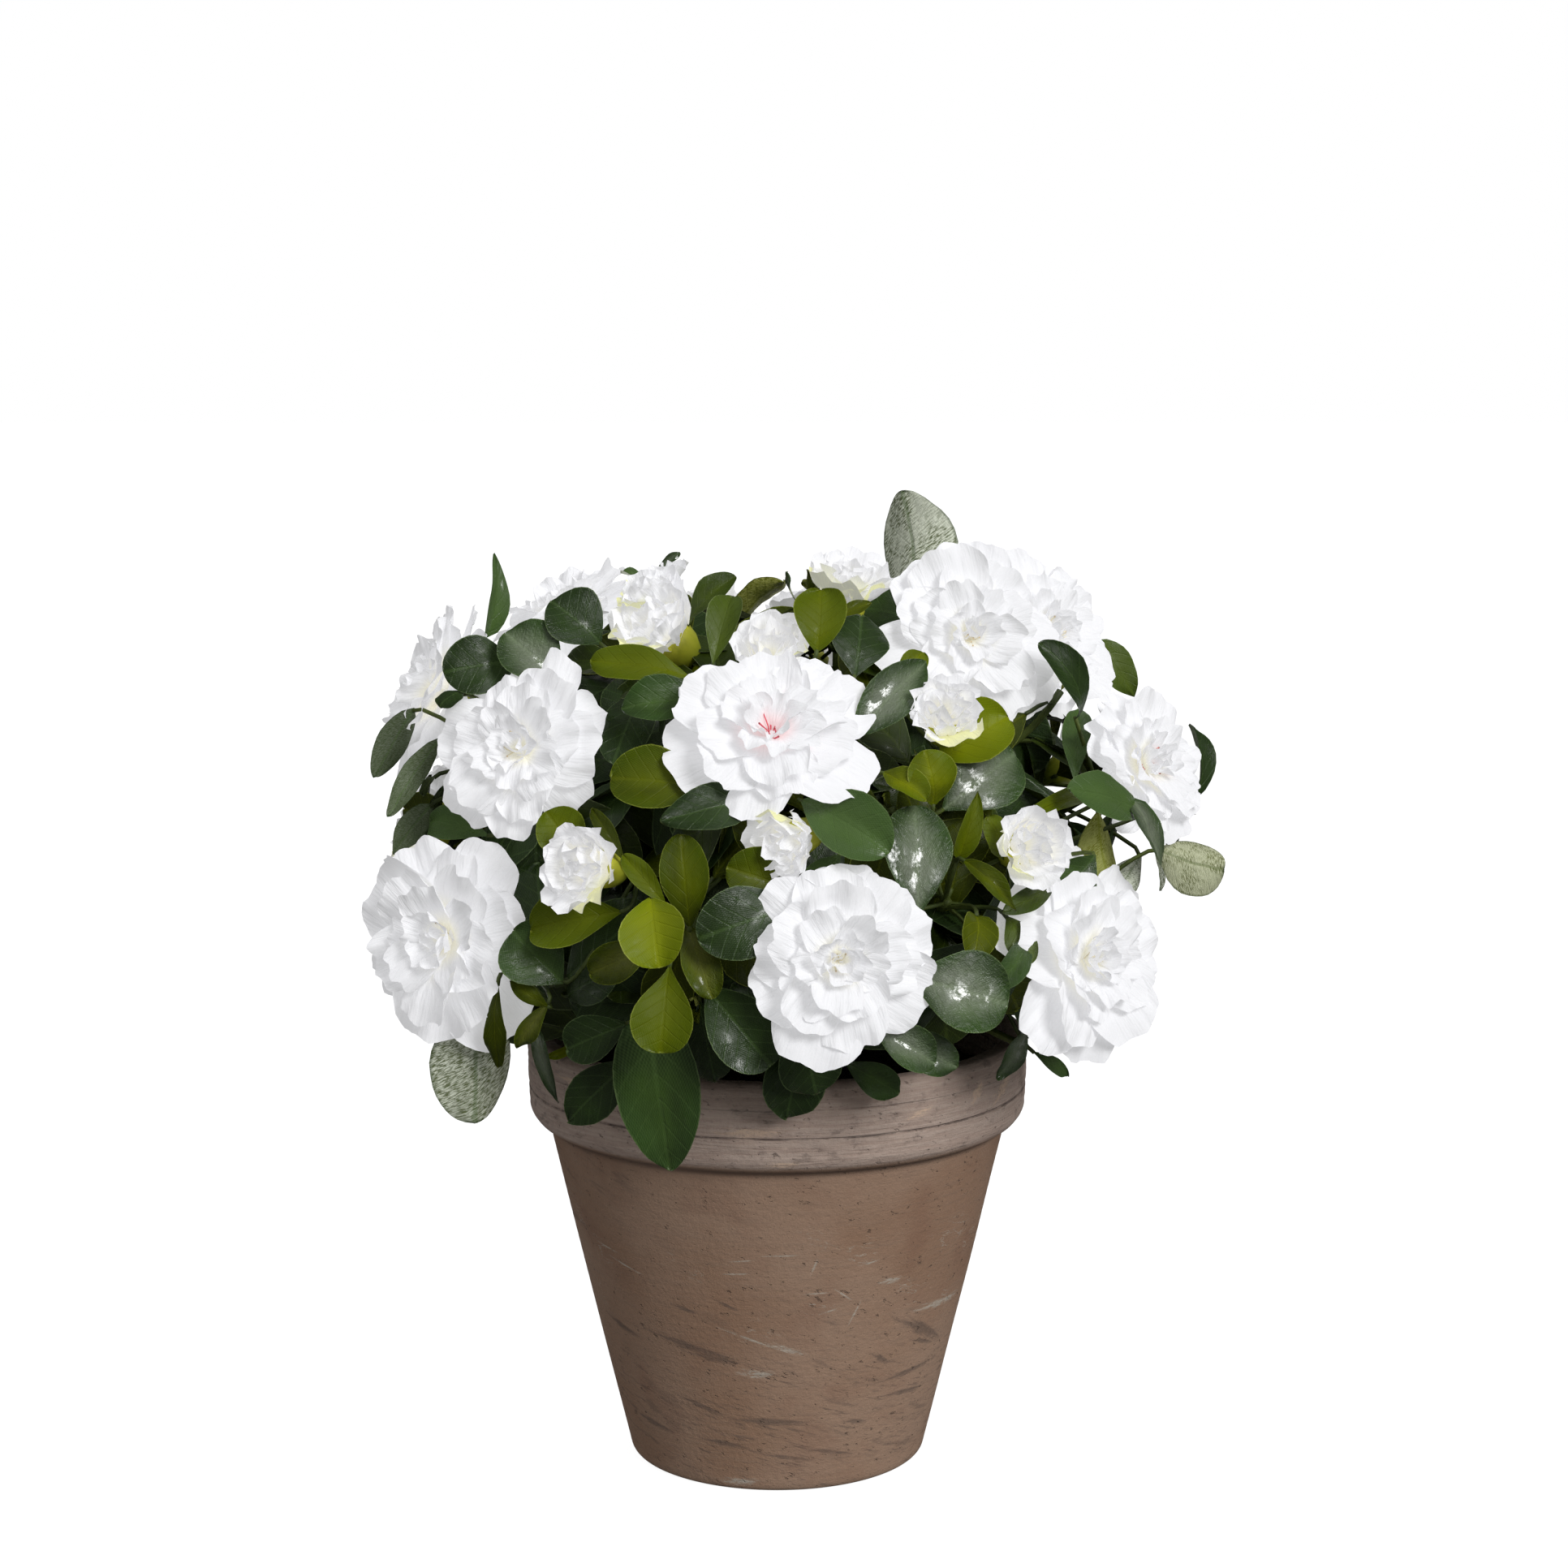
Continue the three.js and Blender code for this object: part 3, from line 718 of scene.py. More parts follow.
bloomRings = ringsOf({  # from the outermost in
    "petals": (6, 6, 5, 5, 4, 3),
    "length": (21.5, 18.8, 15.8, 12.4, 9.2, 6.6),
    "width": (21, 18.5, 16, 12.5, 9, 6.4),
    "bend": ((28, -14), (32, 0), (40, 10), (50, 24), (66, 50), (78, 84)),
    "cup": (0.0, 0.05, 0.1, 0.15, 0.25, 0.3),
    "ruffle": (0.8, 0.9, 0.9, 0.8, 0.9, 0.8),
    "edgeRuffle": (0.6, 0.7, 0.7, 0.6, 0.6, 0.5),
    "notch": (0.02, 0.025, 0.04, 0.05, 0.05, 0.05),
    "crumple": (0.4, 0.45, 0.45, 0.45, 0.4, 0.35),
    "throat": (1.6, 1.4, 1.2, 1.0, 0.9, 0.7),
    "lift": (0, 1.4, 2.4, 3.2, 3.6, 4.0),
})
bloomUneven = {
    "size": 0.13, "width": (0.92, 1.12), "root": 5, "angle": 12, "twist": 16, "cup": 0.15,
    "ripples": (1.1, 2.4), "edgeWaves": (0.7, 1.7), "shoulder": 0.08, "clock": 11, "step": 0.5,
}
petalGrid = (15, 21)
bloomDepth = 6.0  # from the throat to the face of the outer ring
bloomPlug = {"heights": (-0.5, 1.2, 2.6, 3.6), "radii": (1.4, 2.3, 2.0, 0.9)}  # under the inner petals
bloomCup = (1.0, 1.6, 2.2, 2.6, 2.6, 1.8)  # radii of the calyx, up from its foot
openHeart, openRings = 2, 5  # a bloom with this heart stops at that many rings
heartTiles = {1: 1, 2: 2, 3: 1}  # the tile of a bloom's inner petals, by its heart


def addPetal(sheaf, rng, throat, face, clock, form, tile, grid):
    way = clockWay(face, clock)
    surface, rise, cross = petalSheet(rng, form, *grid)
    base = throat + way * form["throat"]
    sheaf.add(place(surface, base, axesOf(way, face)), gridFaces(*grid), tileUv(rise, cross, tile))


def addBloom(rng, head, face, spec):
    throat = head - face * bloomDepth * spec["size"]
    uneven = bloomUneven
    for ring, sizes in enumerate(bloomRings):
        count = sizes["petals"]
        if ring == openRings and spec["heart"] == openHeart:
            break
        offset = spec["spin"] + ring * 180 / count + between(rng, -8, 8)
        for i in range(count):
            form = dict(petalForm, **sizes)
            grown = spec["size"] * (1 + between(rng, -1, 0.7) * uneven["size"])
            form["length"] *= grown
            form["width"] *= grown * between(rng, *uneven["width"])
            start, end = form["bend"]
            form["bend"] = (start + either(rng, uneven["root"]), end + between(rng, -1, 1) * uneven["angle"])
            form["twist"] = between(rng, -1, 1) * uneven["twist"]
            form["cup"] += either(rng, uneven["cup"])
            form["ripples"] = between(rng, *uneven["ripples"])
            form["edgeWaves"] = between(rng, *uneven["edgeWaves"])
            form["shoulder"] += either(rng, uneven["shoulder"])
            tile = heartTiles[spec["heart"]] if ring > 0 else 0
            lift = face * (sizes["lift"] + uneven["step"] * (i % 2))
            clock = offset + i * 360 / count + between(rng, -1, 1) * uneven["clock"]
            sheaf = outerPetals if ring < 2 else innerPetals
            addPetal(sheaf, rng, throat + lift, face, clock, form, tile, petalGrid)
    addStamens(rng, throat, face, spec)
    plug = [throat + face * h * spec["size"] for h in bloomPlug["heights"]]
    tube(innerPetals, plug, np.array(bloomPlug["radii"]) * spec["size"], 10, 1)
    cup = bezier(throat - face * 7, throat - face * 5, throat - face * 3, throat - face * 1.5, len(bloomCup))
    tube(calyxes, cup, bloomCup, 8)


stamenForms = {  # by the bloom's heart: how many, length, radius and spread
    1: {"count": 5, "length": 8.5, "radius": 0.17, "spread": 26, "tile": 1},
    2: {"count": 12, "length": 9.6, "radius": 0.18, "spread": 40, "tile": 0},
    3: {"count": 6, "length": 9.5, "radius": 0.18, "spread": 30, "tile": 2},
}
stamenTaper = np.array([0.9, 0.9, 0.85, 0.8, 0.8, 0.8, 1.0, 1.25])  # of the radius, and thicker at the tip


def addStamens(rng, throat, face, spec):
    form = stamenForms[spec["heart"]]
    for i in range(form["count"]):
        lean = math.radians(form["spread"]) * between(rng, 0.4, 1)
        way = unit(face + clockWay(face, between(rng, 0, 360)) * math.tan(lean))
        end = throat + way * form["length"] * between(rng, 0.85, 1.1)
        hook = clockWay(face, between(rng, 0, 360)) * between(rng, 0.6, 2.2)
        path = bezier(throat, throat + face * 5, end - way * 3 + hook, end, len(stamenTaper))
        tube(stamens, path, stamenTaper * form["radius"], 5, form["tile"])


# Buds: tight crumpled rosettes in a yellow-green cup
budRings = ringsOf({  # from the outermost in
    "petals": (5, 5, 4, 3),
    "length": (12, 11.4, 11, 10.5),
    "width": (14.5, 13, 11.5, 9.5),
    "bend": ((64, 52), (70, 62), (78, 76), (86, 90)),
    "cup": (0.3, 0.32, 0.36, 0.45),
    "ruffle": (0.9, 1.1, 1.2, 1.1),
    "edgeRuffle": (0.7, 0.7, 0.7, 0.6),
    "notch": (0.05, 0.06, 0.06, 0.06),
    "crumple": (0.5, 0.6, 0.6, 0.6),
    "throat": (2.2, 1.9, 1.3, 0.7),
})
budUneven = {"size": (0.86, 1.1), "root": 8, "angle": 12, "twist": 15, "ripples": (1.5, 3),
             "edgeWaves": (1.2, 2.4), "clock": 10}
budGrid = (12, 11)
budDepth = 8
budCup = {"heights": (-7, -5.5, -3.5, -1, 1.5, 3.5), "radii": (1.0, 2.0, 3.3, 4.1, 4.3, 3.9)}
budTwin = {"clock": 330, "aside": 9, "lean": 0.5, "size": 0.7}  # a smaller bud beside the first
limeTile, limeSpread = 3, 50  # the petals within this many degrees of the lime side are lime


def addBud(rng, head, face, size, lime):
    throat = head - face * budDepth * size
    uneven = budUneven
    for ring, sizes in enumerate(budRings):
        count = sizes["petals"]
        offset = between(rng, 0, 360)
        for i in range(count):
            form = dict(petalForm, **sizes)
            grown = size * between(rng, *uneven["size"])
            form["length"] *= grown
            form["width"] *= grown
            start, end = form["bend"]
            form["bend"] = (start + either(rng, uneven["root"]), end + either(rng, uneven["angle"]))
            form["twist"] = either(rng, uneven["twist"])
            form["ripples"] = between(rng, *uneven["ripples"])
            form["edgeWaves"] = between(rng, *uneven["edgeWaves"])
            clock = offset + i * 360 / count + either(rng, uneven["clock"])
            apart = abs((clock - lime + 180) % 360 - 180)
            tile = limeTile if ring == 0 and apart < limeSpread else min(ring, 1)
            addPetal(budPetals, rng, throat, face, clock, form, tile, budGrid)
    cup = [throat + face * h * size for h in budCup["heights"]]
    tube(calyxes, cup, np.array(budCup["radii"]) * size, 12)


shootPoints = []  # along every twig, for the stalks of the set leaves
twigForm = {"points": 16, "foot": 1.35, "tip": 0.95, "knuckle": 0.16, "every": 4, "sides": 7}


def shootTo(rng, mass, throat, face, radius):
    # A twig from the clump's bough to a head. Returns its path, from the bough up.
    count = twigForm["points"]
    start, way, _ = boughTip(mass)
    reach = np.linalg.norm(throat - start)
    side = waves(rng, throat[None] / 10, 20, 1)[0] * 2 * unit(np.cross(way, face) + 1e-6)
    leaving, arriving = start + way * reach * 0.3 + side, throat - face * reach * 0.45
    path = bezier(start - way * 2, leaving, arriving, throat, count)
    knuckles = 1 + twigForm["knuckle"] * (np.arange(count) % twigForm["every"] == twigForm["every"] - 1)
    taper = np.linspace(twigForm["foot"], twigForm["tip"], count)
    tube(twigs, path, taper * radius * knuckles, twigForm["sides"])
    shootPoints.extend(path[3:-1])
    return path


# The branching rule: leaves leave a shoot every few mm, each turned on from the last by the golden angle.
goldenAngle = 137.5
sideLeaves = {"from": 0.34, "to": 0.8, "every": 6.0, "reach": (22, 30), "tilt": (5, 40)}
# How thick a head's twig is, the kinds of leaf along it, and the ring of leaves under the head.
sprays = {
    "bloom": {"twig": 1.15, "kinds": ["deep", "deep", "mid"],
              "leaves": 7, "reach": (30, 37), "tilt": (-8, 12), "under": 14, "deepShare": 0.75, "proud": 7},
    "bud": {"twig": 0.9, "kinds": ["deep", "mid", "olive"],
            "leaves": 5, "reach": (19, 25), "tilt": (14, 40), "limeShare": 0.35},
    "whorl": {"twig": 0.85, "kinds": ["deep", "mid"],
              "leaves": 6, "reach": (22, 29), "tilt": (8, 38), "hangShare": 0.3},
}
furledLeaves = {
    "clockAndLean": ((30, 14), (150, 20), (265, 18)),
    "length": (7, 11), "width": 2.6, "fold": 0.8, "proud": 6,
}


def leafUp(rng, path, kinds):
    lengths = np.concatenate([[0], np.cumsum(np.linalg.norm(np.diff(path, axis=0), axis=1))])
    clock = between(rng, 0, 360)
    along = lengths[-1] * sideLeaves["from"]
    while along < lengths[-1] * sideLeaves["to"]:
        root = np.array([np.interp(along, lengths, path[:, i]) for i in range(3)])
        ahead = np.array([np.interp(along + 1, lengths, path[:, i]) for i in range(3)])
        face = unit(ahead - root)
        kind = kinds[rng.integers(len(kinds))]
        reach, tilt = between(rng, *sideLeaves["reach"]), between(rng, *sideLeaves["tilt"])
        whorlLeaf(rng, root, face, clock, reach, tilt, kind)
        clock += goldenAngle + between(rng, -15, 15)
        along += sideLeaves["every"] * between(rng, 0.8, 1.3)


def ringOfLeaves(rng, spray):  # the clock, reach and tilt of each leaf
    start, ring = between(rng, 0, 360), []
    for i in range(spray["leaves"]):
        clock = start + 360 * (i + between(rng, -0.2, 0.2)) / spray["leaves"]
        ring.append((clock, between(rng, *spray["reach"]), between(rng, *spray["tilt"])))
    return ring


headPlaces = []  # of every shoot that has been grown


def headAt(spec):
    turn, rise, out = spec["place"]
    return crownMiddle + aim(turn, rise) * out, aim(*spec["face"])


def markZones():
    for specs, zone in ((blooms, bloomZone), (buds, budZone)):
        for spec in specs.values():
            head, face = headAt(spec)
            zones.append((head, face, zone["radius"] * spec["size"], zone["depth"] * spec["size"]))
            headPlaces.append(head)
    headPlaces.extend(headAt(spec)[0] for spec in whorls.values())


def growBloom(rng, spec):
    head, face = headAt(spec)
    spray = sprays["bloom"]
    throat = head - face * bloomDepth * spec["size"]
    path = shootTo(rng, spec["mass"], throat, face, spray["twig"])
    leafUp(rng, path, spray["kinds"])
    addBloom(rng, head, face, spec)
    for i, (clock, reach, tilt) in enumerate(ringOfLeaves(rng, spray)):
        root = throat - face * (3 + 1.6 * (i % 3))
        kind = "deep" if rng.random() < spray["deepShare"] else "mid"
        whorlLeaf(rng, root, face, clock, reach, tilt - spray["under"], kind, proud=spray["proud"])


def growBud(rng, spec):
    head, face = headAt(spec)
    spray = sprays["bud"]
    throat = head - face * budDepth * spec["size"]
    path = shootTo(rng, spec["mass"], throat - face * 6, face, spray["twig"])
    leafUp(rng, path, spray["kinds"])
    lime = spec.get("lime", 200)
    addBud(rng, head, face, spec["size"], lime)
    if spec.get("twin"):
        side = clockWay(face, budTwin["clock"])
        twin, twinFace = head + side * budTwin["aside"] + face, unit(face + side * budTwin["lean"])
        addBud(rng, twin, twinFace, spec["size"] * budTwin["size"], lime)
    for clock, reach, tilt in ringOfLeaves(rng, spray):
        kind = "lime" if rng.random() < spray["limeShare"] else "olive"
        whorlLeaf(rng, throat - face * 5, face, clock, reach, tilt, kind)


def growWhorl(rng, spec):
    head, face = headAt(spec)
    spray, furled, kind = sprays["whorl"], furledLeaves, spec["kind"]
    root = head - face * 6
    path = shootTo(rng, spec["mass"], root, face, spray["twig"])
    leafUp(rng, path, [*spray["kinds"], kind])
    isLowBehind = abs(spec["place"][0]) > 100 and spec["place"][1] < 6
    for i, (clock, reach, tilt) in enumerate(ringOfLeaves(rng, spray)):
        hangs = isLowBehind and rng.random() < spray["hangShare"]
        whorlLeaf(rng, root - face * (i % 3), face, clock, reach, tilt, kind, hangs)
    for clock, lean in furled["clockAndLean"]:  # at the tip of the shoot
        form = dict(leafForm, length=between(rng, *furled["length"]), width=furled["width"])
        form.update(bend=(90 - lean, 80 - lean), fold=furled["fold"])
        surface, rise, cross = leafSheet(rng, form, *leafGrid)
        surface = place(surface, root, axesOf(clockWay(face, clock), face))
        if not blocked(surface, furled["proud"], False):
            addLeaf(leaves["lime"], rng, surface, rise, cross)


coverage = {
    "directions": 900, "spiral": 137.508, "lowest": -14, "spacing": 25, "seed": 77,
    "kinds": ["deep", "deep", "mid", "olive"], "inside": 6, "headInside": 8,
}


def fillGaps():
    # Adds leafy shoots where the heads leave the crown bare, the barest place first.
    k = np.arange(coverage["directions"])
    lift = 1 - 2 * (k + 0.5) / len(k)
    rises, turns = np.degrees(np.arcsin(lift)), (k * coverage["spiral"]) % 360 - 180
    spots = [(t, r) for t, r in zip(turns, rises) if r > coverage["lowest"]]
    reached = [crownAt(t, r) for t, r in spots]
    inside = coverage["inside"]
    points = np.array([crownMiddle + aim(t, r) * (out - inside) for (t, r), (out, _) in zip(spots, reached)])
    added = 0
    while True:
        heads = np.array(headPlaces)
        bare = np.min(np.linalg.norm(points[:, None] - heads[None], axis=2), axis=1)
        best = int(np.argmax(bare))
        if bare[best] < coverage["spacing"]:
            break
        rng = np.random.default_rng(coverage["seed"] + best)
        turn, rise = spots[best]
        out, mass = reached[best]
        kind = coverage["kinds"][rng.integers(len(coverage["kinds"]))]
        face = (turn + between(rng, -12, 12), rise + between(rng, -4, 16))
        spot = {"mass": mass or "top_back", "place": (turn, rise, out - coverage["headInside"]), "face": face,
                "kind": kind}
        headPlaces.append(headAt(spot)[0])
        growWhorl(rng, spot)
        added += 1
    print(f"leafy shoots added in the gaps: {added}")


# Looks
weave = {"across": 34, "along": 56, "depth": 0.00005}  # threads over a leaf, and how deep they print


def leafPatterns(look):
    p = SimpleNamespace()
    p.across, p.along, p.tile, p.side = tileKnobs(look, sides=2)
    # tile 0 carries painted shade, tile 2 painted light, tile 3 creases with a painted sheen
    p.isDim, p.isLit, p.isCreased = onTiles(p.tile, 0, 2, 3)
    p.edge = p.across.size()
    wide = (p.along.most(0.001) ** 1.35 * math.pi).sine().most(0.02) ** 0.75  # the leaf's own width there
    x = p.across * wide * 0.5
    p.here = look.join(x, p.along, p.tile * 7.3 + p.side * 3.1)
    warp = (x * weave["across"] * 2 * math.pi + p.along * weave["along"] * math.pi).sine()
    weft = (x * weave["across"] * 2 * math.pi - p.along * weave["along"] * math.pi).sine()
    p.threads = warp * 0.5 + weft * 0.5
    p.grain = look.noise(p.here, 38, 2)
    p.fibres = look.noise(look.join(x * 9, p.along * 55 + x * 22, p.tile * 5), 1.6, 4, 0.7)
    p.rib = 1 - x.size().step(0.01, 0.035)
    slant = p.along * 6.5 - p.edge * wide * 1.9
    p.vein = 1 - (slant - slant.floor() - 0.5).size().step(0.02, 0.09)
    p.heart = 1 - (p.edge * 0.7 + (p.along - 0.42).size() * 0.75).step(0.1, 0.85)
    return p


def leafFace(look, p, tone):
    blotch, broad = look.noise(p.here, 3.2, 3), look.noise(p.here, 1.5, 1)
    colour = look.mix(p.heart * (0.35 + blotch * 0.7), tone["margin"], tone["heart"])
    # less mottle on tile 2, as part of its painted light
    mottled = (broad.step(0.38, 0.66) * 0.65 + blotch.step(0.42, 0.72) * 0.35) * (1 - p.isLit * 0.6)
    colour = look.mix(mottled, colour, tone["mottle"])
    # painted shade: the faces on tile 0 are darkened towards the mottle colour
    colour = look.mix(p.isDim * 0.75, colour, tone["mottle"])
    # the weave's pale threads, fewer on the painted-shade tile, plus painted light that brightens tile 2
    weaveAndPaintedLight = (p.threads * 0.5 + 0.5) * (0.3 - p.isDim * 0.15) + p.grain * 0.1 + p.isLit * 0.26
    colour = look.mix(weaveAndPaintedLight, colour, tone["thread"])
    colour = look.mix(p.rib * 0.26 + p.vein * 0.17, colour, tone["rib"])
    # painted sheen: silver mixed into the middle of the creased leaves on tile 3
    colour = look.mix(p.isCreased * p.heart * 0.17, colour, tone["silver"])
    frayed = (p.edge + p.grain * 0.07).step(0.99, 1.03).most((p.along + p.grain * 0.03).step(0.995, 1.015))
    return look.mix(frayed * 0.5, colour, tone["fray"])


def leafBack(look, p, tone):
    sheen = look.noise(p.here, 5, 2)
    # share of silver fibres, cut by painted shade on tile 0 and raised by painted light on tile 2
    bright = (0.74 + sheen.step(0.35, 0.6) * 0.26) * (1 - p.isDim * 0.65) + p.isLit * 0.35
    colour = look.mix(p.fibres.step(0.42, 0.58) * bright, tone["back"], tone["silver"])
    # painted light: pale silver patches on the backs on tile 2
    colour = look.mix(p.isLit * sheen.step(0.46, 0.6) * 0.55, colour, tone["silver"])
    # painted shade: the backs on tile 0 are darkened towards the margin colour
    colour = look.mix(p.isDim * 0.6, colour, tone["margin"])
    colour = look.mix(p.rib * 0.5, colour, tone["rib"])
    rimmed = p.edge.step(0.91, 0.99).most(p.along.step(0.96, 0.99))
    return look.mix(rimmed * 0.5, colour, tone["margin"])


def leafLook(name, tone):
    look = Look(name)
    p = leafPatterns(look)
    colour = look.mix(p.side, leafFace(look, p, tone), leafBack(look, p, tone))
    crinkle = look.noise(p.here, 7, 4, 0.62)
    gloss = look.noise(p.here, 4, 3).step(0.42, 0.62)
    rough = tone["roughness"] + 0.12 - gloss * 0.16 + p.grain * 0.08 + p.side * 0.06
    film = crinkle.step(0.45, 0.57) * (0.35 + p.grain.step(0.38, 0.56) * 0.65)  # where the coating shines
    film = film * (p.isCreased * 0.85 + gloss * 0.3) * (1 - p.side) * (1 - p.edge.step(0.85, 0.97))
    height = p.threads * 0.25 + crinkle * (p.isCreased * 2 + 1) * tone["crinkle"] - p.rib * 1.4 - p.vein * 1.1
    height = height + p.fibres * p.side * 1.2
    bump = {"Distance": weave["depth"], "Strength": 1.0}
    fixed = {"Specular_IOR_Level": tone["shine"], "Coat_Roughness": 0.16, "Coat_IOR": 1.9,
             "Coat_Weight": film * tone["film"]}
    return look.finish(colour, rough, height, bump, **fixed)


leafTones = {  # the back is the dark and silver the light of a leaf's other side; silver also gives the painted sheen on creased faces and the painted light patches on lit backs
    "deep": {"margin": rgb(40, 66, 22), "heart": rgb(70, 98, 32), "mottle": rgb(16, 30, 8),
        "thread": rgb(94, 120, 66), "rib": rgb(84, 110, 56), "fray": rgb(112, 132, 84),
        "back": rgb(100, 110, 72), "silver": rgb(226, 231, 212), "roughness": 0.27, "crinkle": 5.5,
        "shine": 0.3, "film": 1.0},
    "mid": {"margin": rgb(48, 68, 10), "heart": rgb(76, 92, 8), "mottle": rgb(24, 38, 4),
        "thread": rgb(94, 112, 36), "rib": rgb(82, 100, 26), "fray": rgb(150, 164, 112),
        "back": rgb(106, 112, 64), "silver": rgb(196, 200, 166), "roughness": 0.3, "crinkle": 4.5,
        "shine": 0.35, "film": 0.7},
    "olive": {"margin": rgb(56, 72, 1), "heart": rgb(98, 106, 0), "mottle": rgb(30, 38, 0),
        "thread": rgb(106, 120, 8), "rib": rgb(100, 108, 4), "fray": rgb(150, 160, 66),
        "back": rgb(104, 110, 26), "silver": rgb(172, 174, 98), "roughness": 0.36, "crinkle": 3.5,
        "shine": 0.15, "film": 0.4},
    "lime": {"margin": rgb(80, 98, 1), "heart": rgb(134, 140, 0), "mottle": rgb(52, 62, 0),
        "thread": rgb(136, 148, 14), "rib": rgb(130, 138, 6), "fray": rgb(176, 184, 84),
        "back": rgb(120, 126, 28), "silver": rgb(184, 188, 108), "roughness": 0.36, "crinkle": 3,
        "shine": 0.15, "film": 0.4},
}


petalGlow = 0.28  # stands for the light that thin petals let through


def petalLook(name, cream, reach):  # how creamy the heart's petals are, and how far up them
    look = Look(name)
    across, along, tile, _ = tileKnobs(look)
    spread = look.join(across * (0.3 + along), along, tile * 4.7)
    soft = look.noise(spread, 3, 3)
    streak = look.noise(look.join(across * 14, along * 1.4, tile * 3), 1.5, 3, 0.6)
    deep = 1 - along.step(0.1, reach)
    white = look.mix(soft * 0.35 + streak * 0.15, rgb(215, 215, 217), rgb(204, 205, 209))
    isCream, isBlush, isLime = onTiles(tile, 1, 2, limeTile)
    colour = look.mix(deep * (isCream * cream), white, rgb(232, 226, 186))
    colour = look.mix(deep * (isBlush * 0.7), colour, rgb(232, 190, 190))
    colour = look.mix(isLime * (0.85 + deep * 0.15), colour, rgb(208, 208, 106))
    edge = (across.size() + soft * 0.06).step(0.93, 1.02)
    colour = look.mix(edge * 0.4, colour, rgb(226, 226, 228))
    folds = look.noise(look.join(across * 4, along * 1.1, tile * 5 + 1), 1.3, 2)
    height = streak * 1.3 + soft * 2.5 + folds * 6 + look.noise(spread, 60, 2) * 0.4
    bump = {"Distance": 0.00016, "Strength": 0.75}
    glow = {"Emission_Color": (1, 1, 1, 1), "Emission_Strength": petalGlow, "Specular_IOR_Level": 0.25}
    return look.finish(colour, 0.66 + soft * 0.15, height, bump, **glow)


def stamenLook():
    look = Look("stamenThread")
    across, along, tile, _ = tileKnobs(look)
    isCream, isPale = onTiles(tile, 1, 2)
    flecks = look.noise(look.join(across, along * 9, tile), 2, 2)
    colour = look.mix(flecks * 0.5, rgb(214, 64, 84), rgb(240, 140, 150))
    colour = look.mix(isCream, colour, rgb(240, 232, 205))
    colour = look.mix(isPale, colour, rgb(232, 150, 140))
    tip = along.step(0.86, 0.9) * 0.8
    colour = look.mix(tip * (1 - isCream), colour, rgb(140, 62, 58))
    colour = look.mix(tip * isCream, colour, rgb(216, 186, 140))
    return look.finish(colour, 0.55 + flecks * 0.1)


def calyxLook():
    look = Look("calyxGreen")
    across, along, tile, _ = tileKnobs(look)
    flecks = look.noise(look.join(across * 2, along, tile), 5, 3)
    colour = look.mix(along.step(0.2, 0.95), rgb(110, 128, 20), rgb(206, 204, 60))
    colour = look.mix(flecks.step(0.45, 0.7) * 0.4, colour, rgb(150, 158, 30))
    return look.finish(colour, 0.45 + flecks * 0.1, flecks, {"Distance": 0.0002, "Strength": 0.5})


def stalkLook():
    look = Look("mouldedStalk")
    here = look.add("TexCoord", {}, {}, out="Object")
    blotch = look.noise(here, 120, 3)
    grain = look.noise(here, 1100, 2)
    colour = look.mix(blotch.step(0.35, 0.65), rgb(52, 66, 18), rgb(84, 98, 34))
    colour = look.mix(grain.step(0.5, 0.75) * 0.4, colour, rgb(40, 44, 18))
    return look.finish(colour, 0.5 + blotch * 0.15, grain, {"Distance": 0.0001, "Strength": 0.5})


def woodLook():
    look = Look("mouldedStem")
    here = look.add("TexCoord", {}, {}, out="Object")
    blotch = look.noise(here, 160, 3)
    grain = look.noise(here, 900, 3)
    colour = look.mix(blotch, rgb(62, 66, 34), rgb(92, 84, 46))
    colour = look.mix(grain.step(0.5, 0.75) * 0.5, colour, rgb(48, 44, 28))
    return look.finish(colour, 0.55 + blotch * 0.15, grain, {"Distance": 0.0002, "Strength": 0.6})


def soilLook():
    look = Look("peatFill")
    here = look.add("TexCoord", {}, {}, out="Object")
    lumps = look.noise(here, 300, 4)
    crumbs = look.noise(here, 1400, 3)
    colour = look.mix(lumps, rgb(26, 20, 15), rgb(52, 40, 30))
    colour = look.mix(crumbs.step(0.6, 0.75) * 0.6, colour, rgb(78, 64, 48))
    return look.finish(colour, 0.95, lumps + crumbs * 0.4, {"Distance": 0.001, "Strength": 0.9})


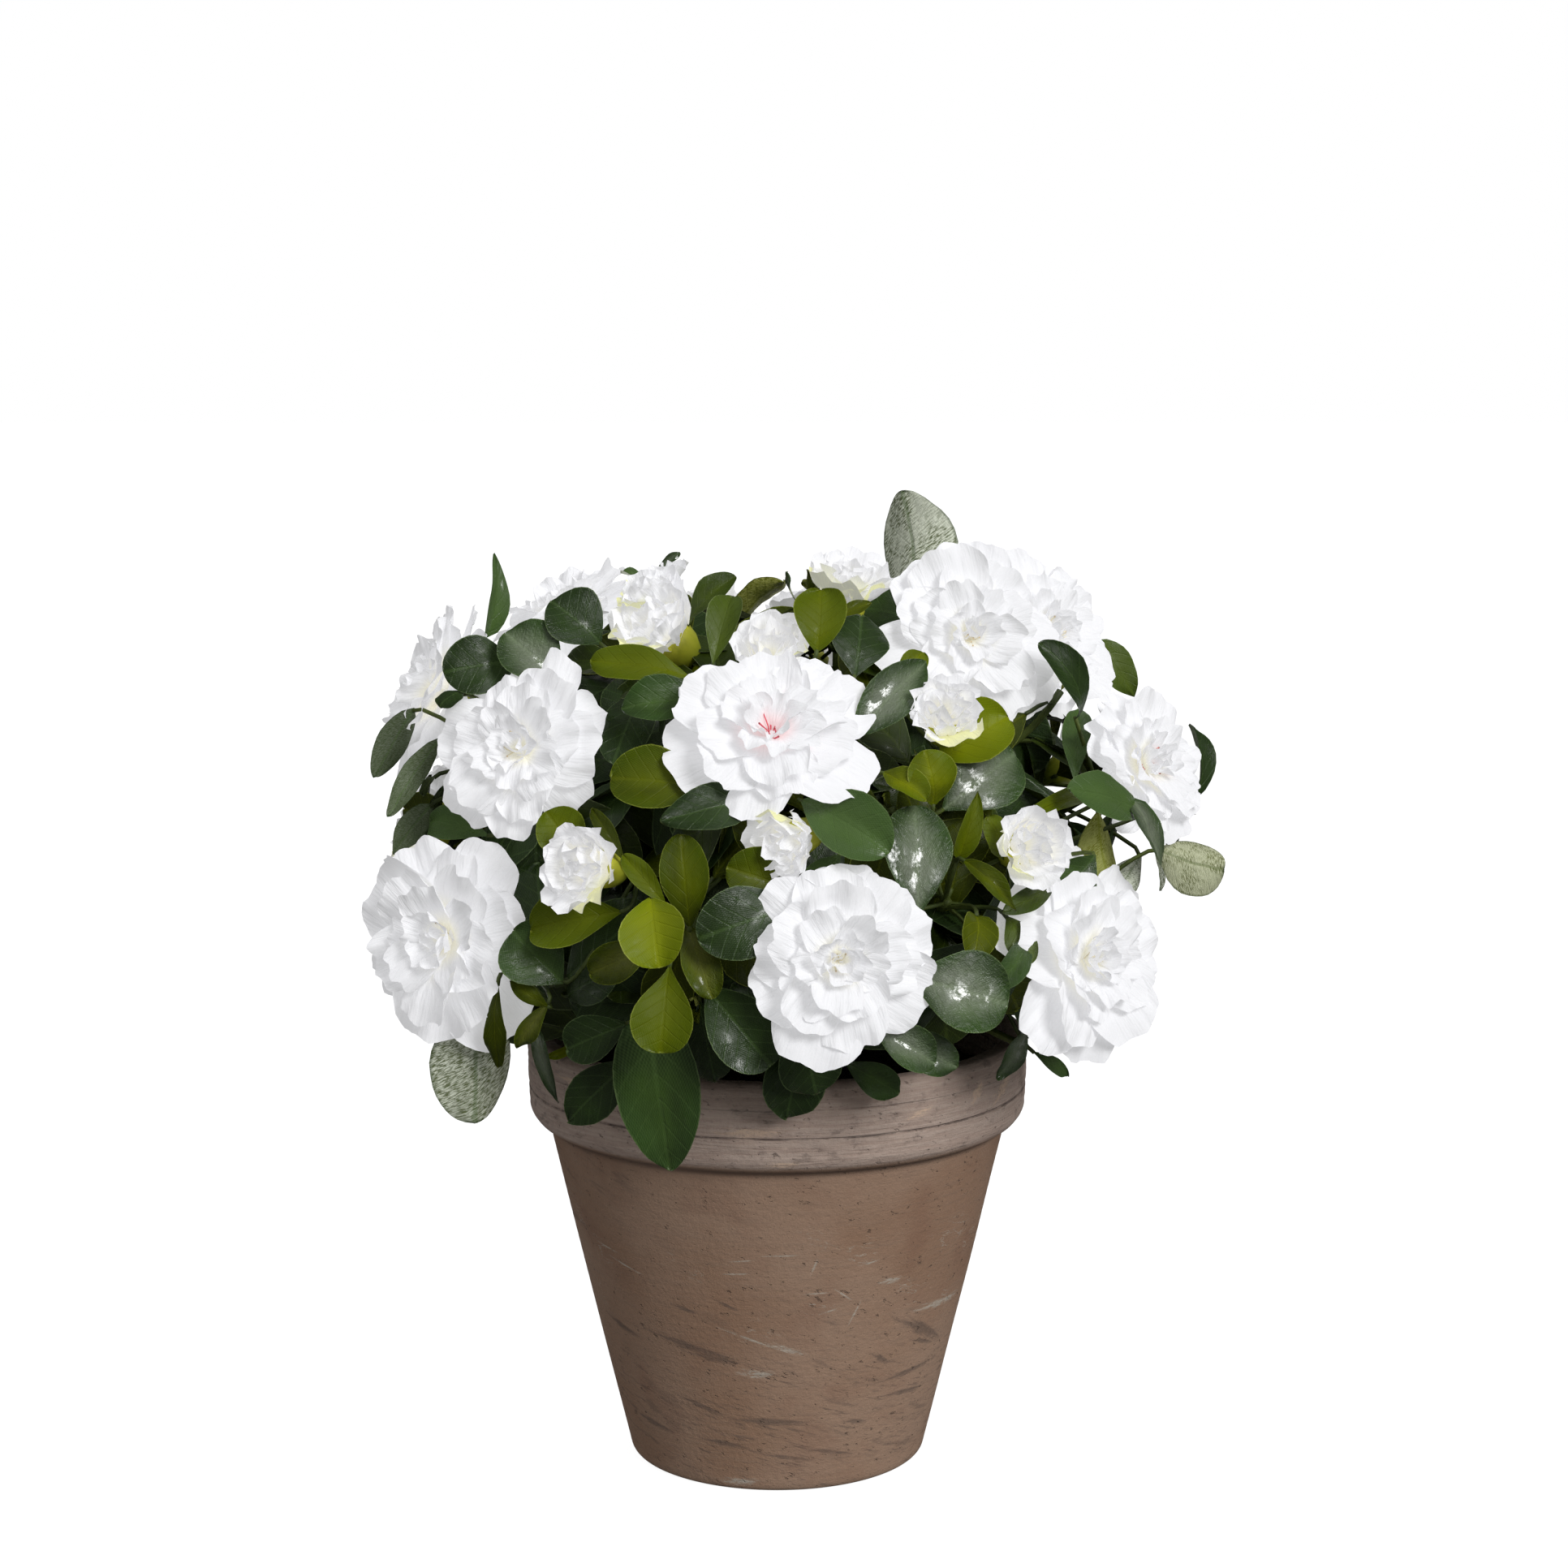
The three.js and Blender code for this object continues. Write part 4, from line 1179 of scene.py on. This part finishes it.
potForm = {  # mm, in the pot's section
    "height": 100, "baseRadius": 34, "baseRound": 2.4, "neckRadius": 52.7, "neck": 79.4, "rimRadius": 57.4,
    "rimRound": 4.8, "lipRound": 2.3, "wall": 6, "floor": 8, "step": 0.9, "around": 200,
    "wornHeight": 52, "sideRadius": 40,  # where the side is rolled out flat for its marks
    # the height, depth and width of each groove round the rim
    "grooves": [(88.2, 0.28, 0.35), (93.6, 0.16, 0.5), (95.6, 0.12, 0.3), (84.6, 0.08, 0.6)],
}
potMarks = {  # where each mark starts and ends, as (turn, height), and its half width in mm
    "smudges": [
        ((-45, 38.1), (-8, 32.5), 1.3), ((-29, 34.3), (-10, 32.2), 1.2), ((-36, 22.9), (-16, 18.6), 0.9),
        ((-18, 18.7), (15, 17.5), 1.2), ((36.4, 41.8), (66.0, 30.3), 1.9), ((-32, 45.6), (-23, 43.8), 0.7),
        ((-18, 48.1), (-10, 45.2), 0.5), ((32, 25.6), (64, 27), 0.9), ((34, 22.0), (62, 20.5), 0.8),
        ((23, 17.2), (33, 16.1), 0.8), ((31, 33.2), (38, 29.8), 1.0), ((-66, 37.5), (-45, 34.3), 1.0),
        ((-62, 14.5), (-36, 11.8), 1.0), ((7, 11.6), (32, 7.8), 0.7), ((45, 34.7), (60, 31), 0.7),
        ((-8, 10.2), (16, 7.7), 0.7), ((-29, 12.7), (-8, 11.0), 0.9), ((150, 40), (175, 33), 1.4),
        ((110, 26), (132, 20), 1.1), ((-150, 30), (-128, 24), 1.2), ((-105, 44), (-86, 38), 1.0),
    ],
    "scratches": [
        ((-19, 41.6), (7, 34.6), 0.35), ((-3, 37.9), (9, 34.6), 0.9), ((-12, 30.3), (-1, 29.9), 1.2),
        ((43.9, 41.9), (72.2, 40.9), 1.1), ((21, 41.0), (25, 47.8), 0.3), ((7, 49.9), (16, 49.9), 0.28),
        ((-15, 54.5), (-7, 54.9), 0.28), ((-5, 59.3), (7, 59.5), 0.25), ((-13, 57.6), (-5, 58.3), 0.22),
        ((9, 54.4), (11, 58.7), 0.3), ((30, 51.0), (37, 50.9), 0.9), ((-55, 53.8), (-38, 50.7), 0.28),
        ((-60, 56.0), (-48, 54.8), 0.24), ((23, 55.8), (29, 56.7), 0.28), ((-21, 2.3), (-7, 2.5), 1.1),
        ((16, 50.8), (22, 47.2), 0.28), ((12, 44.7), (18, 45.9), 0.28), ((160, 52), (178, 47), 0.4),
        ((120, 38), (128, 41), 1.0), ((-140, 55), (-124, 53), 0.3),
    ],
    "flakes": [  # pale worn places on the rim
        ((-13, 89.4), (2, 89.6), 1.3), ((-2, 82.2), (5, 82.3), 0.9), ((49, 92), (52, 95), 1.4),
        ((58, 90), (66, 95), 1.6), ((30, 91), (36, 92.4), 1.0), ((-58, 96), (-46, 95), 0.9),
        ((140, 90), (152, 91), 1.3), ((-120, 84), (-110, 85), 1.0),
    ],
}


def onSide(turn, height):  # a place on the pot's side, rolled out flat
    return np.array([math.radians(turn) * potForm["sideRadius"], height])


def markKnob(look, flat, marks, rag=2.0):  # 1 on the marks, which are feathered along their length
    total = None
    for start, end, width in marks:
        start, end = onSide(*start), onSide(*end)
        way, middle = end - start, (start + end) / 2
        sockets = {"Vector": flat, "Location": (*middle, 0), "Rotation": (0, 0, math.atan2(way[1], way[0])),
                   "Scale": (np.linalg.norm(way) / 2 + width, width, 1)}
        inside = look.add("Mapping", {"vector_type": "TEXTURE"}, sockets)
        reach = look.add("VectorMath", {"operation": "LENGTH"}, {0: inside}, out=1)
        streaks = look.noise(inside, 1.8, 4, 0.7)
        mark = 1 - (reach + (streaks - 0.5) * rag).step(0.3, 0.95)
        total = total.most(mark) if total else mark
    return total


def clayPatterns(look):
    p = SimpleNamespace()
    p.here = look.add("TexCoord", {}, {}, out="Object")
    x, y, z = look.split(p.here)
    p.x, p.y, p.z = x, y, z * (1 / mm)  # the height counts in mm
    p.flat = look.join(x.maths("ARCTAN2", x, y * -1) * potForm["sideRadius"], p.z)
    p.broad = look.noise(p.here, 26, 3)
    p.grain = look.noise(p.here, 900, 3, 0.6)
    p.fine = look.noise(p.here, 2600, 2)
    p.turned = look.noise(look.join(x * 50, y * 50, p.z * 0.9), 1.6, 5, 0.65)
    p.specks = look.noise(look.join(x * 600, y * 600, p.z + x * 300), 0.8, 3, 0.7)
    p.chips = look.noise(look.join(x * 500, y * 500, p.z * 1.6), 1.2, 4, 0.7)
    p.soot = look.noise(look.join(x * 400, y * 400, p.z * 0.9), 0.5, 6, 0.7)
    ring = p.z + p.turned * 0.2 - 0.1
    deepLine = 1 - (ring - 88.0).size().step(0.08, 0.34)
    fineLine = 1 - (ring - 94.4).size().step(0.06, 0.24)
    p.lines = deepLine * 0.7 + fineLine * 0.3
    p.rim = p.z.step(potForm["neck"] + 0.8, potForm["neck"] + 2.4)
    return p


def clayGround(look, p):  # the reddish side, and the paler sooty rim with its dark lines
    body = look.mix(p.broad.step(0.35, 0.65), rgb(154, 121, 97), rgb(167, 137, 115))
    body = look.mix(p.turned.step(0.45, 0.7) * 0.3, body, rgb(146, 124, 107))
    lip = look.mix(p.turned.step(0.4, 0.62), rgb(182, 160, 147), rgb(196, 176, 163))
    lip = look.mix(p.soot.step(0.54, 0.66) * 0.55, lip, rgb(122, 108, 100))
    lip = look.mix(0.5 - p.soot.step(0.3, 0.42) * 0.5, lip, rgb(208, 184, 166))
    lip = look.mix(p.lines * p.soot.step(0.35, 0.58), lip, rgb(70, 60, 55))
    return look.mix(p.rim, body, lip)


def claySmudges(look, p, colour):
    x, y, z = p.x, p.y, p.z
    smear = look.noise(look.join(x * 160, y * 160, (z + x * 420) * 0.8), 0.4, 6, 0.66)
    dark = smear.step(0.54, 0.66) * look.noise(p.here, 38, 2).step(0.5, 0.62)
    hairs = look.noise(look.join(x * 300, y * 300, (z + x * 330) * 2.2), 0.5, 5, 0.7)
    hairs = hairs.step(0.55, 0.65) * ((1 - z.step(22, 46)) * 0.8 + 0.2)
    smudges = markKnob(look, p.flat, potMarks["smudges"]) * (0.5 + p.grain * 0.5)
    dark = (dark * 0.5).most(hairs * 0.6).most(smudges)
    colour = look.mix(dark * (0.8 - p.rim * 0.3), colour, rgb(84, 74, 68))
    reddish = look.noise(p.here, 70, 3).step(0.5, 0.7) * (1 - p.rim)
    colour = look.mix(reddish * 0.25, colour, rgb(128, 88, 68))
    return look.mix(p.specks.step(0.63, 0.72) * 0.5, colour, rgb(72, 58, 50))


def clayScratches(look, p, colour):
    x, y, z = p.x, p.y, p.z
    line = look.noise(look.join(x * 120, y * 120, z * 0.5 + x * 90), 1.0, 3, 0.55)
    worn = 1 - (z - potForm["wornHeight"]).size().step(6, 18)  # the band where the pot has been rubbed
    scratch = (1 - (line - 0.5).size().step(0.004, 0.02)) * look.noise(p.here, 95, 2).step(0.56, 0.66) * worn
    scratch = scratch * p.chips.step(0.36, 0.56)
    marks = markKnob(look, p.flat, potMarks["scratches"], 2.6) * p.chips.step(0.34, 0.54)
    colour = look.mix((scratch * 0.6).most(marks * 0.8), colour, rgb(190, 182, 168))
    flakes = markKnob(look, p.flat, potMarks["flakes"], 2.6) * p.rim
    return look.mix(flakes * p.chips.step(0.34, 0.5) * 0.85, colour, rgb(218, 190, 166))


def clayLook():
    look = Look("weatheredClay")
    p = clayPatterns(look)
    colour = clayScratches(look, p, claySmudges(look, p, clayGround(look, p)))
    foot = 1 - (p.z + p.broad * 6).step(1.5, 6)
    colour = look.mix(foot * p.fine.step(0.4, 0.6) * 0.3, colour, rgb(160, 150, 138))
    under = (1 - (p.z - potForm["neck"]).size().step(0.2, 1.6)) * 0.55  # painted shadow in the corner under the rim
    colour = look.mix(under, colour, rgb(58, 46, 38))
    colour = look.mix(p.grain * 0.25, colour, rgb(104, 84, 70))
    height = p.grain + p.turned * 1.6 * (0.3 + p.rim) - p.specks.step(0.62, 0.74) * 1.5
    height = height + p.fine * 0.4 - p.lines * p.rim * 2
    return look.finish(colour, 0.82 + p.grain * 0.12, height, {"Distance": 0.00025, "Strength": 0.8})


def arc(centre, radius, start, end, count):
    turns = np.radians(np.linspace(start, end, count))
    return [(centre[0] + radius * math.cos(a), centre[1] + radius * math.sin(a)) for a in turns]


def potSection():
    p = potForm
    slope = math.degrees(math.atan2(p["neckRadius"] - p["baseRadius"], p["neck"]))
    inner = p["neckRadius"] - p["wall"] + 5
    section = [(0, 0), (p["baseRadius"] - p["baseRound"], 0)]
    section += arc((p["baseRadius"] - p["baseRound"] + 0.3, p["baseRound"]), p["baseRound"], -90, -slope, 8)
    section += [(p["neckRadius"], p["neck"] - 0.3), (p["neckRadius"] + 0.4, p["neck"])]
    rimFoot = (p["rimRadius"] - p["rimRound"] - 0.3, p["neck"] + p["rimRound"])
    section += arc(rimFoot, p["rimRound"], -78, 0, 9)
    section += [(p["rimRadius"], 90), (p["rimRadius"] + 0.1, p["height"] - p["lipRound"] - 1)]
    section += arc((p["rimRadius"] - p["lipRound"], p["height"] - p["lipRound"]), p["lipRound"], 0, 90, 8)
    section += arc((inner + 1.6, p["height"] - 1.6), 1.6, 90, 180, 6)
    section += [(p["baseRadius"] - p["wall"] + 2, p["floor"]), (0, p["floor"])]
    return np.array(section)


def potPiece():
    p = potForm
    section = potSection()
    lengths = np.concatenate([[0], np.cumsum(np.linalg.norm(np.diff(section, axis=0), axis=1))])
    steps = np.unique(np.concatenate([lengths, np.arange(0, lengths[-1], p["step"])]))
    r, z = (np.interp(steps, lengths, section[:, i]) for i in range(2))
    outside = steps < lengths[-3]  # up to where the fill covers the inside
    for height, depth, width in p["grooves"]:
        r = r - outside * (r > 50) * depth * np.exp(-(((z - height) / width) ** 2))
    rng = np.random.default_rng(5)
    turning = waves(rng, z[:, None], 2.6, 3) * np.where(z > p["neck"] + 1, 0.07, 0.03)
    r = np.where(r > 1, r + turning * outside * np.clip((z - 1) / 3, 0, 1), r)
    turns = np.linspace(0, math.tau, p["around"] + 1) + math.pi / 2
    points = np.stack([r[:, None] * np.cos(turns), r[:, None] * np.sin(turns), z[:, None] + 0 * turns], -1)
    wobble = waves(rng, points, 60, 2)[..., None] * 0.12 * np.clip(points[..., 2:] / 6, 0, 1)
    outward = points * [1, 1, 0] / (np.linalg.norm(points * [1, 1, 0], axis=-1, keepdims=True) + 1e-6)
    points = points + outward * wobble
    points[:, -1] = points[:, 0]
    sheaf = Sheaf("clayPot", "clay", clayLook())
    addRings(sheaf, points, flip=True)
    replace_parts(sheaf.build(), "pot")


soilForm = {  # mm
    "rings": 46, "around": 120, "lump": 1.1, "crumb": 0.7, "sunk": 1.2, "foot": 0.72, "seed": 8,
}


def soilPiece():
    p = soilForm
    rng = np.random.default_rng(p["seed"])
    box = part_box("soil_plug")
    rings, around = p["rings"], p["around"]
    r = np.linspace(0.2, (box[1].x - box[0].x) / 2 / mm, rings)[:, None]
    turns = np.linspace(0, math.tau, around + 1)[None]
    points = np.stack([r * np.cos(turns), r * np.sin(turns), soilTop + 0 * r * turns], -1)
    lumps = waves(rng, points, 9, 4) * p["lump"] + np.abs(waves(rng, points, 2.6, 2)) * p["crumb"]
    points[..., 2] += lumps - p["sunk"]
    points[:, -1] = points[:, 0]
    skirt = points[-1:] * [1, 1, 0] + [0, 0, box[0].z / mm]
    points = np.concatenate([points, skirt * [p["foot"], p["foot"], 1], skirt * [0.004, 0.004, 1]])
    sheaf = Sheaf("peat", "soil", soilLook())
    addRings(sheaf, points)
    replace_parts(sheaf.build(), "soil_plug")


stemForm = {  # mm
    "radius": 4.4, "flare": 4.2, "swell": 0.35, "ridges": 7, "ridgeDepth": 0.06, "rough": 0.25, "sunk": 1.5,
    "rows": 40, "around": 48, "seed": 21,
}
boughForm = {
    "foot": 1.6, "tip": 1.25, "points": 14, "sides": 8, "knuckle": 0.25, "knuckleAt": 5, "collar": 0.3,
}


def stemPiece():
    # The stem and its boughs, with ridges along them and knuckles where they part.
    p = stemForm
    rng = np.random.default_rng(p["seed"])
    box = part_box("stem")
    low, high = box[0].z / mm, box[1].z / mm
    foot = (box[1].x - box[0].x) / 2 / mm
    heights = np.linspace(low - p["sunk"], high, p["rows"])
    share = (heights - low) / (high - low)
    radii = p["radius"] + (foot - p["radius"]) * np.exp(-np.clip(share, 0, 1) * p["flare"])
    radii = radii + p["swell"] * np.sin(share * 26)
    radii[-4:] *= [0.95, 0.8, 0.55, 0.05]  # rounded off at the top
    turns = np.linspace(0, math.tau, p["around"] + 1)
    ridges = 1 + p["ridgeDepth"] * np.sin(turns * p["ridges"] + 1)[None] * np.exp(-share * 1.5)[:, None]
    around = radii[:, None] * ridges
    points = np.stack([around * np.cos(turns), around * np.sin(turns), heights[:, None] + 0 * turns], -1)
    points = points + waves(rng, points, 8, 3)[..., None] * [p["rough"], p["rough"], 0]
    points[:, -1] = points[:, 0]
    sheaf = Sheaf("stemAndBoughs", "stem", woodLook())
    addRings(sheaf, points, rises=share)
    for name in massNames:
        addBough(sheaf, name.removeprefix(massNode))
    boughs = [name.replace(massNode, boughNode) for name in massNames]
    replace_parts(sheaf.build(), "stem", *boughs)


def addBough(sheaf, mass):
    p = boughForm
    tip, way, root = boughTip(mass)
    inner = root - way * 2.5
    path = bezier(inner, inner + (tip - inner) / 3, tip - way * 4, tip + way, p["points"])
    along = np.arange(p["points"])
    knuckle = p["knuckle"] * np.exp(-(((along - p["knuckleAt"]) / 1.2) ** 2))
    taper = np.linspace(p["foot"], p["tip"], p["points"])
    tube(sheaf, path, taper * (1 + knuckle + p["collar"] * np.exp(-along / 1.5)), p["sides"])


twigs = Sheaf("twigs", "stem", stalkLook())
leafSlots = {"deep": "leaf_deep", "mid": "foliage", "olive": "leaf_young", "lime": "leaf_young"}
leaves = {kind: Sheaf(kind + "Leaves", slot, leafLook(kind + "Leaf", leafTones[kind]))
          for kind, slot in leafSlots.items()}
outerPetals = Sheaf("outerPetals", "petal", petalLook("petalCloth", cream=0.6, reach=0.62))
innerPetals = Sheaf("innerPetals", "petal", outerPetals.look)
budPetals = Sheaf("budPetals", "petal", petalLook("budCloth", cream=0.75, reach=1.0))
stamens = Sheaf("stamens", "stamen", stamenLook())
calyxes = Sheaf("calyxes", "leaf_young", calyxLook())

potPiece()
soilPiece()
stemPiece()
markZones()
stages = ((growBloom, blooms, 100), (growBud, buds, 200), (growWhorl, whorls, 300), (setLeaf, setLeaves, 400))
for grow, specs, seed in stages:
    for index, spec in enumerate(specs.values()):
        grow(np.random.default_rng(seed + index), spec)
print(f"shoots grown at their set places: {len(headPlaces)}")
fillGaps()
twigs.build()
for sheaf in (*leaves.values(), outerPetals, innerPetals, budPetals, stamens, calyxes):
    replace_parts(sheaf.build(), *massNames)

# Floor, light and camera
floorMesh = bpy.data.meshes.new("floor")
floorMesh.from_pydata([(-4, -4, 0), (4, -4, 0), (4, 4, 0), (-4, 4, 0)], [], [(0, 1, 2, 3)])
floor = bpy.data.objects.new("floor", floorMesh)
bpy.context.scene.collection.objects.link(floor)
floorLook = Look("paleFloor")
faint = floorLook.noise(floorLook.add("TexCoord", {}, {}, out="Object"), 3, 2)
floorColour = floorLook.mix(faint, rgb(120, 120, 121), rgb(116, 116, 117))
floorGlow = {"Emission_Color": (1, 1, 1, 1), "Emission_Strength": 0.94}
floorMesh.materials.append(floorLook.finish(floorColour, 0.9, **floorGlow))
floor.visible_diffuse = floor.visible_glossy = False  # the world below stands for its light

# From which turn and rise each soft lamp shines, its width in degrees, its strength, and if gloss shows it.
lamps = {
    "key": {"from": (35, 30), "width": 24, "strength": 1.8, "mirrored": True},
    "top": {"from": (10, 66), "width": 70, "strength": 0.5, "mirrored": False},
    "left": {"from": (-75, 48), "width": 80, "strength": 0.22, "mirrored": False},
    "back": {"from": (190, 20), "width": 60, "strength": 0.7, "mirrored": False},
}
for name, lamp in lamps.items():
    data = bpy.data.lights.new(name, "SUN")
    data.angle, data.energy = math.radians(lamp["width"]), lamp["strength"]
    holder = bpy.data.objects.new(name, data)
    holder.visible_glossy = lamp["mirrored"]
    holder.rotation_euler = Vector(-aim(*lamp["from"])).to_track_quat("-Z", "Y").to_euler()
    bpy.context.scene.collection.objects.link(holder)

room = {  # the light from above and from below, what gloss shows of it, and the white backdrop
    "above": (0.34, 0.34, 0.35, 1), "below": (0.2, 0.2, 0.2, 1),
    "mirrored": (0.07, 0.07, 0.07, 1), "seen": (1, 1, 1, 1),
}
world = bpy.data.worlds.new("studio")
world.use_nodes = True
studio = Look(world)
_, _, lift = studio.split(studio.add("TexCoord", {}, {}, out="Generated"))
glow = studio.mix(lift.step(-0.4, 0.5), room["below"], room["above"])
glow = studio.mix(studio.add("LightPath", {}, {}, out="Is Glossy Ray"), glow, room["mirrored"])
glow = studio.mix(studio.add("LightPath", {}, {}, out="Is Camera Ray"), glow, room["seen"])
studio.close(studio.add("Background", {}, {"Color": glow}), "OutputWorld")
bpy.context.scene.world = world
bpy.context.scene.view_settings.view_transform = "Standard"

view = bpy.data.cameras.new("view")
view.lens, view.sensor_width, view.clip_start = camera["lens"], 36, 0.05
viewer = bpy.data.objects.new("view", view)
viewer.location = np.array(camera["at"]) * mm
viewer.rotation_euler = (math.radians(90 + camera["pitch"]), 0, 0)
bpy.context.scene.collection.objects.link(viewer)
bpy.context.scene.camera = viewer
